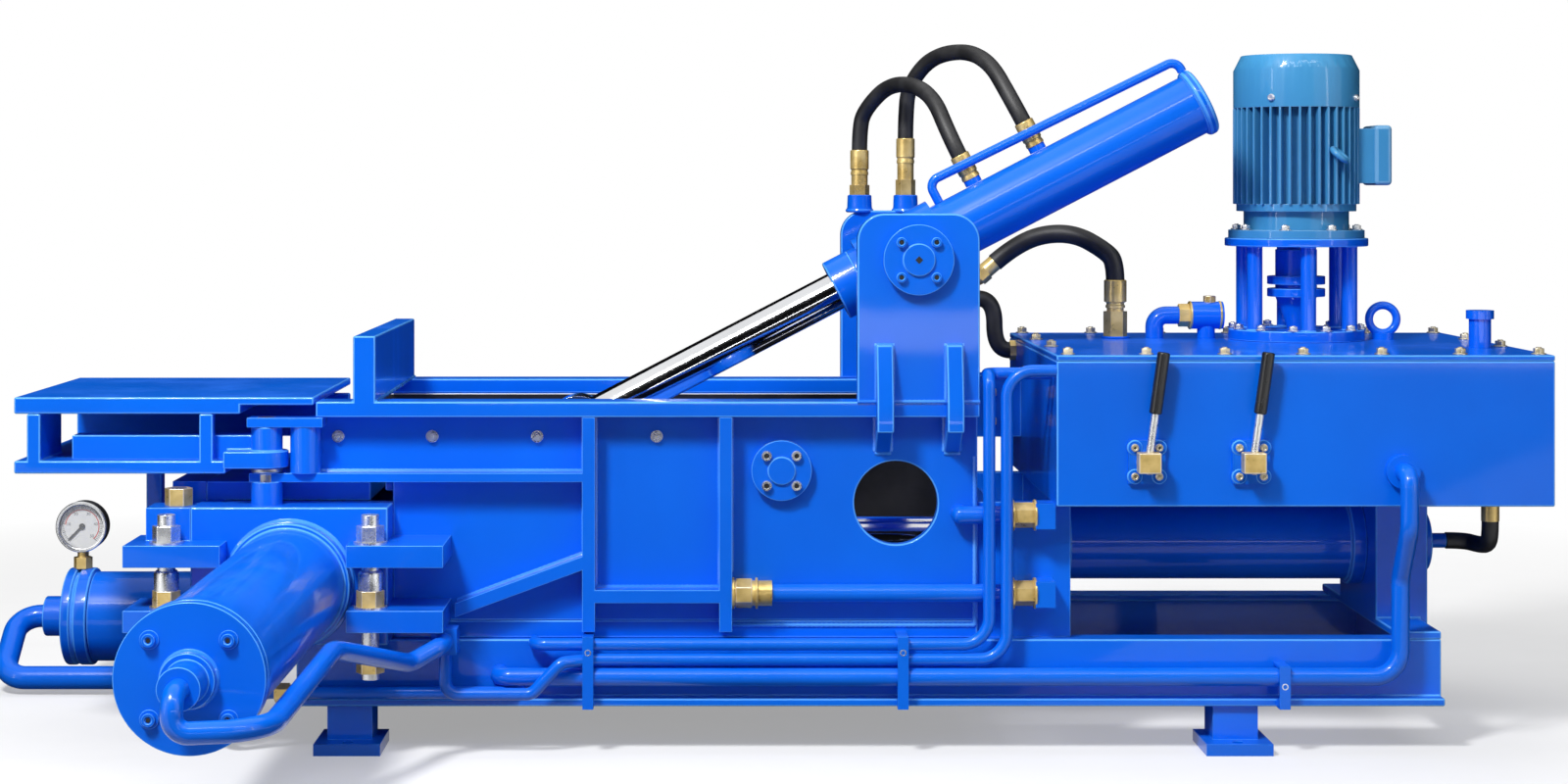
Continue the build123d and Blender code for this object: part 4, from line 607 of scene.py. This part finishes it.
def hose_tube(name, route, diameter, node):
    """Make a rubber tube along a smooth spline, and give the piece and the line that it follows."""
    line = bpy.data.curves.new(name, "CURVE")
    line.dimensions = "3D"
    line.resolution_u = 12
    line.use_fill_caps = True
    spline = line.splines.new("NURBS")
    spline.points.add(len(route) - 1)
    for control, place in zip(spline.points, route):
        control.co = (*place, 1)
    spline.order_u = 3
    spline.use_endpoint_u = True
    drawn = bpy.data.objects.new(name + "_line", line)
    bare_line = bpy.data.meshes.new_from_object(drawn)
    path = [vertex.co.copy() for vertex in bare_line.vertices]
    line.bevel_depth = diameter / 2
    line.bevel_resolution = 7
    mesh = bpy.data.meshes.new_from_object(drawn)
    bpy.data.objects.remove(drawn)
    mesh.name = name
    mesh.materials.clear()
    mesh.materials.append(hose_rubber)
    mesh.shade_smooth()
    piece = bpy.data.objects.new(name, mesh)
    scene.collection.objects.link(piece)
    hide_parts(node)
    length = sum((after - before).length for before, after in zip(path, path[1:]))
    print(name, "is", round(length, 3), "m long")
    return piece, path, length


lid_hoses = {
    "hose_front": places(
        (front_hose_x, hose_y, 1231), (front_hose_x, hose_y, 1281), (185, 335, 1330), (245, 260, 1395),
        (320, 110, 1370),
    ) + [lid_point(front_port, 177.5, port_across), lid_point(front_port, 127.5, port_across)],
    "hose_rear": places(
        (rear_hose_x, hose_y, 1258), (rear_hose_x, hose_y, 1308), (288, 335, 1390), (345, 270, 1460),
        (440, 120, 1455),
    ) + [lid_point(rear_port, 177.5, port_across), lid_point(rear_port, 127.5, port_across)],
}
for node, route in lid_hoses.items():
    piece, path, length = hose_tube("rubber_" + node, route, lid_hose_diameter, node)
    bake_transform(piece)

tank_routes = {
    "return_hose": (42 * mm, places(
        (487.7, hose_y, 979.8), (525.5, hose_y, 1012.6), (590, 312, 1046), (665, 278, 1048),
        (728, 244, 1010), (return_x, return_y, 984), (return_x, return_y, 934),
    )),
    "side_hose": (38 * mm, places(
        (450, hose_y, 897), (487, hose_y, 897), (487, hose_y, 778), (522, hose_y, 778),
    )),
    "drop_hose": (36 * mm, places(
        (1500, -100, 440), (1500, -100, 410), (1502, -75, 385), (1495, -25, 380), (1472, 0, 385),
        (1432, 0, 385),
    )),
}
for name, (diameter, route) in tank_routes.items():
    piece, path, length = hose_tube(name, route, diameter, "tank_hoses")
    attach(piece, "frame")

# %% [markdown]
# Bolts, washers and turned rings are small and there are many of them. Each kind is made once at
# the origin, standing up along Z, and copies of that mesh are turned to face outwards and put
# where the fitter put them. All copies of one finish on one body become one piece.

# %% Make masters for the small parts
def drum(shape, radius, low, high, sides=24):
    """Add a closed drum that stands along Z, in millimetres."""
    middle = Matrix.Translation((0, 0, (low + high) / 2 * mm))
    made = bmesh.ops.create_cone(
        shape, cap_ends=True, segments=sides, radius1=radius * mm, radius2=radius * mm,
        depth=(high - low) * mm, matrix=middle,
    )
    return made["verts"]


def master(name, shape, width=0.8):
    """Round the edges of a small part and keep its mesh for copies."""
    round_edges(shape, width * mm, 1)
    mesh = bpy.data.meshes.new(name)
    shape.to_mesh(mesh)
    shape.free()
    return mesh


def hex_bolt(name, washer_radius, head_radius, head_height):
    """Make a washer, a hexagon head and the end of its thread."""
    shape = bmesh.new()
    washer_height = 3
    drum(shape, washer_radius, 0, washer_height)
    drum(shape, head_radius, washer_height, washer_height + head_height, 6)
    drum(shape, head_radius * 0.5, washer_height + head_height, washer_height + head_height * 1.25, 16)
    return master(name, shape)


def socket_screw(name, washer_radius, head_radius, head_height):
    """Make a round head with a sunk middle, on a washer."""
    shape = bmesh.new()
    drum(shape, washer_radius, 0, 3)
    head = drum(shape, head_radius, 3, head_height, 24)
    head_faces = [face for vert in head for face in vert.link_faces]
    top = max(head_faces, key=lambda face: face.calc_center_median().z)
    bmesh.ops.inset_individual(shape, faces=[top], thickness=head_radius * 0.42 * mm)
    bmesh.ops.inset_individual(shape, faces=[top], thickness=0.2 * mm, depth=-2 * mm)
    return master(name, shape, 0.6)


def turned(profile, steps=24):
    """Spin pairs of radius and height, in millimetres, into a turned part."""
    shape = bmesh.new()
    rim = [shape.verts.new((radius * mm, 0, height * mm)) for radius, height in profile]
    line = [shape.edges.new(pair) for pair in zip(rim, rim[1:])]
    bmesh.ops.spin(
        shape, geom=rim + line, cent=(0, 0, 0), axis=(0, 0, 1), angle=math.tau, steps=steps, use_merge=True,
    )
    bmesh.ops.remove_doubles(shape, verts=shape.verts[:], dist=merge_distance)
    bmesh.ops.recalc_face_normals(shape, faces=shape.faces[:])
    mesh = bpy.data.meshes.new("turned")
    shape.to_mesh(mesh)
    shape.free()
    return mesh


def facing(place, direction):
    """Give the matrix that stands a part at a place in millimetres, with its Z along a direction."""
    turn = Vector(direction).to_track_quat("Z", "Y").to_matrix().to_4x4()
    return Matrix.Translation(Vector(place) * mm) @ turn


def add_copy(shape, part, matrix):
    """Add a copy of a small part to a shape."""
    copy = part.copy()
    copy.transform(matrix)
    shape.from_mesh(copy)
    bpy.data.meshes.remove(copy)


forward = (0, -1, 0)
backward = (0, 1, 0)
upright = (0, 0, 1)
wall_bolt = hex_bolt("wall_bolt", 13, 10, 8)
tank_bolt = hex_bolt("tank_bolt", 15, 11.5, 10)
cap_screw = socket_screw("cap_screw", 10.5, 10, 10)
wide_screw = socket_screw("wide_screw", 16, 11, 12)
small_screw = socket_screw("small_screw", 8, 7, 7)
tie_washer = turned([(18.5, 0), (34, 0), (34, 4), (18.5, 4), (18.5, 0)], 32)
tie_sleeve = turned([(18.5, 0), (25, 0), (25, 34), (21, 40), (18.5, 40), (18.5, 0)], 32)
print("masters", wall_bolt.name, tank_bolt.name, cap_screw.name, wide_screw.name, small_screw.name)

# %% [markdown]
# The bolts through the wall, the screws of the shaft's caps and of the pipe clips, and the washers
# and sleeves on the tie bolts are grey zinc.

# %% Put the zinc bolts in
def four_round(x, z, reach):
    """Give four places on the diagonals round a middle."""
    return [(x + side * reach, z + up * reach) for side in (-1, 1) for up in (-1, 1)]


wall_face = 310
plate_front = 360
tower_cap_front = 380
wall_cap_front = 330
side_cap_front = 1431
side_x = -1022
side_z = 349
shaft_x = -22
shaft_z = 572
diagonal = math.sqrt(0.5)
ring_share = 0.7
tower_screws = four_round(trunnion_x, trunnion_z, 72 * ring_share * diagonal)
shaft_screws = four_round(shaft_x, shaft_z, 62 * ring_share * diagonal)
side_screws = four_round(side_x, side_z, 92 * diagonal)
wall_bolt_xs = (-935, -741, -525, -279)
wall_bolt_z = 641
clip_front = -386
sides = ((-1, forward), (1, backward))

zinc_shape = bmesh.new()
for side, outward in sides:
    for bolt_x in wall_bolt_xs:
        add_copy(zinc_shape, wall_bolt, facing((bolt_x, side * wall_face, wall_bolt_z), outward))
    for screw_x, screw_z in shaft_screws:
        add_copy(zinc_shape, cap_screw, facing((screw_x, side * wall_cap_front, screw_z), outward))
for clip_x, clip_z in ((-417, 209), (223, 209), (998, 140)):
    add_copy(zinc_shape, small_screw, facing((clip_x, clip_front, clip_z), forward))
tie_y = -440
lug_tops = (308, 438)
nut_top = 344
for tie_x in (-1262, -852):
    for lug_top in lug_tops:
        add_copy(zinc_shape, tie_washer, facing((tie_x, tie_y, lug_top), upright))
    add_copy(zinc_shape, tie_sleeve, facing((tie_x, tie_y, nut_top), upright))
finished_piece("zinc_bolts", zinc_shape, zinc_steel, "frame")
print("zinc bolts on", len(sides), "walls")

# %% [markdown]
# The bolts round the tank lid and the screws at the levers are yellow zinc.

# %% Bolt the tank lid and the lever plates
tank_lid_top = 812
lid_bolts = bmesh.new()
for column in range(7):
    for row in range(4):
        if column in (0, 6) or row in (0, 3):
            bolt_place = (562 + 962 * column / 6, -354 + 788 * row / 3, tank_lid_top)
            add_copy(lid_bolts, tank_bolt, facing(bolt_place, upright))
lever_pivots = {"left_lever": 718, "right_lever": 930}
lever_z = 596
ear_front = -391


def ear_places(lever_x):
    """Give the middles of the four ears round a lever."""
    return [(lever_x + side * 24.7, lever_z + up * 29.3) for side in (-1, 1) for up in (-1, 1)]


for lever_x in lever_pivots.values():
    for ear_x, ear_z in ear_places(lever_x):
        add_copy(lid_bolts, small_screw, facing((ear_x, ear_front, ear_z), forward))
finished_piece("tank_bolt_heads", lid_bolts, yellow_zinc, "frame")
print("tank bolts and", len(lever_pivots), "lever plates")

# %% [markdown]
# The screws of the caps on the towers and of the side cap were painted with the machine. Flat
# black patches in their sockets, in those of the shaft's zinc screws and on the centres of the
# tower bosses are painted shade in the holes.

# %% Put the cap screws in
painted_screws = bmesh.new()
for side, outward in sides:
    for screw_x, screw_z in tower_screws:
        add_copy(painted_screws, cap_screw, facing((screw_x, side * tower_cap_front, screw_z), outward))
for screw_x, screw_z in side_screws:
    add_copy(painted_screws, wide_screw, facing((screw_x, -side_cap_front, screw_z), forward))
finished_piece("painted_screws", painted_screws, blue_paint, "frame")

# flat black hexagons and squares: painted shade inside the sockets and centre holes
socket_blank = bmesh.new()
drum(socket_blank, 4.2, 0, 0.8, 6)
socket = master("socket", socket_blank, 0.1)
centre_blank = bmesh.new()
drum(centre_blank, 8, 0, 0.8, 4)
centre_hole_shade = master("centre_hole_shade", centre_blank, 0.1)
socket_shade_patches = bmesh.new()
screw_rise = 8
boss_front = 386
for side, outward in sides:
    tower_socket_y = side * (tower_cap_front + screw_rise)
    wall_socket_y = side * (wall_cap_front + screw_rise)
    for screw_x, screw_z in tower_screws:
        add_copy(socket_shade_patches, socket, facing((screw_x, tower_socket_y, screw_z), outward))
    for screw_x, screw_z in shaft_screws:
        add_copy(socket_shade_patches, socket, facing((screw_x, wall_socket_y, screw_z), outward))
    add_copy(socket_shade_patches, centre_hole_shade, facing((trunnion_x, side * boss_front, trunnion_z), outward))
for screw_x, screw_z in side_screws:
    add_copy(socket_shade_patches, socket, facing((screw_x, -side_cap_front - 10, screw_z), forward))
finished_piece("socket_shade_patches", socket_shade_patches, needle_black, "frame")
print("cap screws", 2 * len(tower_screws) + len(side_screws))

# %% [markdown]
# Each lever stands in a brass block on a plate with four ears. The block turns with the lever.

# %% Add the lever blocks
def slab(shape, x_span, y_span, z_span):
    """Add a rectangular block between its limits, in millimetres."""
    spans = (x_span, y_span, z_span)
    size = Matrix.Diagonal([(span[1] - span[0]) * mm for span in spans] + [1])
    middle = Matrix.Translation([(span[0] + span[1]) / 2 * mm for span in spans])
    bmesh.ops.create_cube(shape, size=1, matrix=middle @ size)


ear_blank = bmesh.new()
drum(ear_blank, 16, 0, 12)
ear = master("ear", ear_blank, 2.5)
ears = bmesh.new()
ear_back = -380
for body, lever_x in lever_pivots.items():
    for ear_x, ear_z in ear_places(lever_x):
        add_copy(ears, ear, facing((ear_x, ear_back, ear_z), forward))
    block_shape = bmesh.new()
    slab(block_shape, (lever_x - 23, lever_x + 23), (-432, -398), (576, 618))
    round_edges(block_shape, 3 * mm, 3)
    finished_piece(body + "_block", block_shape, brass, body)
finished_piece("lever_ears", ears, blue_paint, "frame")
print("two lever blocks and eight ears")

# %% [markdown]
# The gauge tells the pressure: a bright rolled bezel, a white card with black ticks and numbers, and
# a red arc for the range to keep out of. The scale runs round three quarters of the card. Ticks are
# flat strips turned about the middle, and the numbers are text made into mesh before it is placed.

# %% Mix the card and the ink
gauge_x = -1630
gauge_z = 364
card_y = 399.8
print_y = 399.6
scale_start = 225
scale_sweep = 270
card_finish = new_finish("dial_card")
card_tone = card_finish.mix(card_finish.noise(60.0), (0.80, 0.80, 0.78, 1), (0.88, 0.88, 0.86, 1))
dial_card = card_finish.surface({"Base Color": card_tone, "Roughness": 0.5 + 0.1 * card_finish.noise(300.0)})
ink_finish = new_finish("dial_red")
ink_tone = ink_finish.mix(ink_finish.noise(90.0), (0.62, 0.03, 0.03, 1), (0.72, 0.05, 0.04, 1))
dial_red = ink_finish.surface({"Base Color": ink_tone, "Roughness": 0.5 + 0.1 * ink_finish.noise(300.0)})
print("card and ink", dial_card.name, dial_red.name)

# %% [markdown]
# Every mark is placed by its share of the sweep and its distance from the middle.

# %% Draw the dial
def on_dial(share, radius):
    """Give the matrix that puts a flat mark on the dial, upright to the scale, at a share of its sweep."""
    angle = math.radians(scale_start - scale_sweep * share)
    place = Vector((gauge_x + radius * math.cos(angle), print_y, gauge_z + radius * math.sin(angle))) * mm
    turn = Matrix.Rotation(math.pi / 2, 4, "X") @ Matrix.Rotation(angle, 4, "Z")
    return Matrix.Translation(place) @ turn


def flat_mark(shape, share, radius, length, width):
    """Add a flat mark to the dial, with its length along the radius, in millimetres."""
    size = Matrix.Diagonal((length * mm, width * mm, 1, 1))
    matrix = on_dial(share, radius) @ size
    bmesh.ops.create_grid(shape, x_segments=1, y_segments=1, size=0.5, matrix=matrix)


card_shape = bmesh.new()
card_middle = Matrix.Translation(Vector((gauge_x, card_y, gauge_z)) * mm)
card_turn = Matrix.Rotation(math.pi / 2, 4, "X")
bmesh.ops.create_circle(
    card_shape, cap_ends=True, segments=64, radius=51.5 * mm, matrix=card_middle @ card_turn,
)
finished_piece("gauge_card", card_shape, dial_card, "frame")

tick_shape = bmesh.new()
for tick in range(51):
    length, width = (7, 1.6) if tick % 5 == 0 else (4, 0.9)
    flat_mark(tick_shape, tick / 50, 44, length, width)
for number in range(0, 51, 10):
    words = bpy.data.curves.new("number", "FONT")
    words.body = str(number)
    words.size = 10 * mm
    words.align_x = "CENTER"
    words.align_y = "CENTER"
    writer = bpy.data.objects.new("number", words)
    number_mesh = bpy.data.meshes.new_from_object(writer)
    bpy.data.objects.remove(writer)
    angle = math.radians(scale_start - scale_sweep * number / 50)
    place = Vector((gauge_x + 32 * math.cos(angle), print_y, gauge_z + 32 * math.sin(angle))) * mm
    number_mesh.transform(Matrix.Translation(place) @ Matrix.Rotation(math.pi / 2, 4, "X"))
    tick_shape.from_mesh(number_mesh)
finished_piece("gauge_print", tick_shape, needle_black, "frame")

arc_shape = bmesh.new()
for step in range(36):
    flat_mark(arc_shape, 0.2 + 0.8 * step / 35, 39, 2.2, 4.4)
finished_piece("gauge_arc", arc_shape, dial_red, "frame")

bezel_profile = [
    (50.5, 6.5), (50.5, 9), (52.5, 10.5), (57, 10.5), (59.2, 8), (59.2, 2), (58.2, 0), (57, 0), (57, 6.5),
    (50.5, 6.5),
]
bezel = turned(bezel_profile, 64)
bezel_shape = bmesh.new()
add_copy(bezel_shape, bezel, facing((gauge_x, 396, gauge_z), forward))
finished_piece("gauge_bezel", bezel_shape, zinc_steel, "frame")
print("dial with", len(range(0, 51, 10)), "numbers")

# %% [markdown]
# The plates are joined by fillet welds that were painted over. Each bead is coloured in the lighter
# blues, a painted highlight, and its glossier coat catches a thin line of light. A bead is a row of
# small ripples, so its profile swells and narrows along its length and is spun round that length.
# It lies in the corner of the seam, half sunk in the plates.

# %% Write the helpers for beads
ripple_pitch = 10


def bead(shape, start, end, radius=4.5):
    """Add a rippled bead between two places, in millimetres."""
    start = Vector(start)
    way = Vector(end) - start
    ripples = max(2, round(way.length / ripple_pitch))
    profile = [(0, 0)]
    for index in range(2 * ripples + 1):
        swell = 1 if index % 2 else 0.8
        profile.append((radius * swell, way.length * index / (2 * ripples)))
    profile.append((0, way.length))
    part = turned(profile, 8)
    add_copy(shape, part, facing(start, way))
    bpy.data.meshes.remove(part)


def ring_bead(shape, place, direction, ring_radius, radius=4.5):
    """Add a bead round a tube that stands on a plate."""
    profile = [
        (ring_radius + radius * math.cos(math.radians(angle)), radius * math.sin(math.radians(angle)))
        for angle in range(0, 361, 45)
    ]
    part = turned(profile, 48)
    add_copy(shape, part, facing(place, direction))
    bpy.data.meshes.remove(part)


print("beads have a ripple every", ripple_pitch, "mm")

# %% [markdown]
# The seams follow the ribs, the gussets, the feet of the towers, the brace, the stop plate and the
# tubes that stand on plates. Walls and towers have the same seams front and back.

# %% Lay the weld beads
welds = bmesh.new()
rib_left = -430
rib_right = -404
second_left = -150
second_right = -124
stub_foot = 1100
head_front = -400
for side, outward in sides:
    wall_y = side * wall_face
    tower_y = side * plate_front
    bead(welds, (-970, wall_y, 570), (rib_left, wall_y, 570))
    bead(welds, (-808, wall_y, 552), (rib_left, wall_y, 552))
    bead(welds, (rib_left, wall_y, 574), (rib_left, wall_y, 680))
    bead(welds, (rib_left, wall_y, 406), (rib_left, wall_y, 548))
    bead(welds, (rib_right, wall_y, 334), (rib_right, wall_y, 680))
    bead(welds, (second_left, wall_y, 334), (second_left, wall_y, 680))
    bead(welds, (second_right, wall_y, 362), (second_right, wall_y, 680))
    bead(welds, (rib_right, wall_y, 331), (second_left, wall_y, 331))
    bead(welds, (rib_right, wall_y, 305), (second_left, wall_y, 305))
    bead(welds, (second_right, wall_y, 252), (376, wall_y, 252))
    bead(welds, (376, wall_y, 252), (376, wall_y, 600))
    for gusset_left in (170, 312.5):
        gusset_right = gusset_left + 34
        for seam_x in (gusset_left, gusset_right):
            bead(welds, (seam_x, tower_y, 720), (seam_x, tower_y, 830))
            bead(welds, (seam_x, wall_y, 610), (seam_x, wall_y, 682))
        bead(welds, (gusset_left, tower_y, 832), (gusset_right, tower_y, 832))
        bead(welds, (gusset_left, wall_y, 606), (gusset_right, wall_y, 606))
    for first, last in ((132, 170), (204, 312.5), (346.5, 382)):
        bead(welds, (first, tower_y, 716), (last, tower_y, 716))
bead(welds, (rib_left, -wall_face, 400), (-690, -wall_face, 304))
bead(welds, (rib_left, -wall_face, 372), (-690, -wall_face, 276))
for seam_x in (-898, -852):
    bead(welds, (seam_x, -356, 716), (seam_x, 356, 716))
for hose_x in (front_hose_x, rear_hose_x):
    ring_bead(welds, (hose_x, hose_y, stub_foot), upright, 28)
ring_bead(welds, (side_x, -side_cap_front, side_z), forward, 46)
ring_bead(welds, (side_x, head_front, side_z), forward, 128, 6)
finished_piece("weld_beads", welds, weld_highlight_paint, "frame")
print("weld beads laid")

# %% [markdown]
# Hydraulic fittings are turned from bar: a nut, a neck and a ferrule that is pressed on the rubber.
# A few turned profiles over the plain hexagons give them their steps and grooves.

# %% Turn the ferrules and collars
ferrule_profile = [
    (17, -4), (20.5, -3), (20.5, 3), (19.3, 5), (19.3, 9), (21.4, 11), (21.4, 52), (20, 54), (17, 54),
]
wide_profile = [
    (19, -4), (22, -3), (22, 2), (20, 4), (20, 8), (25.4, 11), (25.4, 58), (23.5, 60), (19, 60),
]
ferrule = turned(ferrule_profile, 32)
wide_ferrule = turned(wide_profile, 32)
washer = turned([(20, 0), (31, 0), (32, 1), (32, 4), (31, 5), (20, 5)], 32)
stub = turned([(20, 0), (31, 0), (28.5, 8), (27.5, 34), (25, 36), (20, 36)], 32)
collar_blank = bmesh.new()
drum(collar_blank, 31, 0, 34, 6)
collar = master("collar", collar_blank, 2)

port_y = -336.4
brass_shape = bmesh.new()
add_copy(brass_shape, ferrule, facing((front_hose_x, hose_y, 1185), upright))
add_copy(brass_shape, ferrule, facing((rear_hose_x, hose_y, 1212), upright))
add_copy(brass_shape, wide_ferrule, facing((return_x, return_y, 884), upright))
along_x = (1, 0, 0)
add_copy(brass_shape, collar, facing((-117, port_y, 322), along_x))
add_copy(brass_shape, washer, facing((-124, port_y, 322), along_x))
add_copy(brass_shape, washer, facing((-76, port_y, 322), along_x))
for port_z in (322, 482):
    add_copy(brass_shape, washer, facing((449, port_y, port_z), along_x))
    add_copy(brass_shape, washer, facing((494, port_y, port_z), along_x))
for ring_x in (915, 982):
    add_copy(brass_shape, washer, facing((ring_x, 230, 864), along_x))
plug_blank = bmesh.new()
drum(plug_blank, 15, 0, 16, 6)
plug = master("plug", plug_blank, 1.5)
add_copy(brass_shape, plug, facing((962, 230, 892), upright))
for plug_z in (625, 690):
    add_copy(brass_shape, plug, facing((466, 236, plug_z), forward))
finished_piece("turned_brass", brass_shape, brass, "frame")

port_way = lid_point(0, 1, 0) - lid_point(0, 0, 0)
lid_brass = bmesh.new()
for along in (front_port, rear_port):
    add_copy(lid_brass, ferrule, facing(lid_point(along, 84, port_across) / mm, port_way))
finished_piece("lid_ferrules", lid_brass, brass, "lid_cylinder")

stub_shape = bmesh.new()
for stub_x in (front_hose_x, rear_hose_x):
    add_copy(stub_shape, stub, facing((stub_x, hose_y, stub_foot), upright))
add_copy(stub_shape, washer, facing((return_x, return_y, tank_lid_top), upright))
finished_piece("hose_stubs", stub_shape, blue_paint, "frame")
print("ferrules, collars and stubs turned")

# %% [markdown]
# Behind the upright pipes a drilled block on the side of the tank shares the oil between the lines.

# %% Hang the oil block on the tank
oil_block = bmesh.new()
slab(oil_block, (420, 537), (236, 332), (588, 728))
round_edges(oil_block, 3 * mm, 2)
finished_piece("oil_block", oil_block, blue_paint, "frame")
print("oil block")

# %% [markdown]
# The motor is a bought part with its own paint. Screws hold its cowl, bolts its flange, and a cover
# with a seam closes its terminal box. The pump stand is bolted to the tank lid in a ring.

# %% Finish the motor and the stand
motor_x = 1150
motor_y = 194


def round_motor(count, reach, first=0.0):
    """Give directions and places in an even ring round the motor's axis."""
    ring = []
    for number in range(count):
        angle = math.radians(first + 360 * number / count)
        way = (math.cos(angle), math.sin(angle), 0)
        ring.append((way, (motor_x + reach * way[0], motor_y + reach * way[1])))
    return ring


motor_bolts = bmesh.new()
for _, place in round_motor(8, 134, 22.5):
    add_copy(motor_bolts, wall_bolt, facing((*place, 1058), upright))
for _, place in round_motor(12, 140, 15):
    add_copy(motor_bolts, wall_bolt, facing((*place, 836), upright))
for way, place in round_motor(4, 138.6, 55):
    add_copy(motor_bolts, small_screw, facing((*place, 1352), way))
finished_piece("motor_bolts", motor_bolts, zinc_steel, "frame")

box_cover = bmesh.new()
slab(box_cover, (1312, 1352), (134, 254), (1158, 1292))
round_edges(box_cover, 9 * mm, 3)
finished_piece("terminal_cover", box_cover, motor_paint, "frame")

eye_radius = 19
eye_wire = 7
eye_profile = [
    (eye_radius + eye_wire * math.cos(math.radians(angle)), eye_wire * math.sin(math.radians(angle)))
    for angle in range(0, 361, 30)
]
eye_shape = bmesh.new()
add_copy(eye_shape, turned(eye_profile, 32), facing((1215, 56, 1225), (0.6, -0.3, 0.75)))
finished_piece("motor_eye", eye_shape, motor_paint, "frame")
print("motor bolts, box cover and lifting eye")
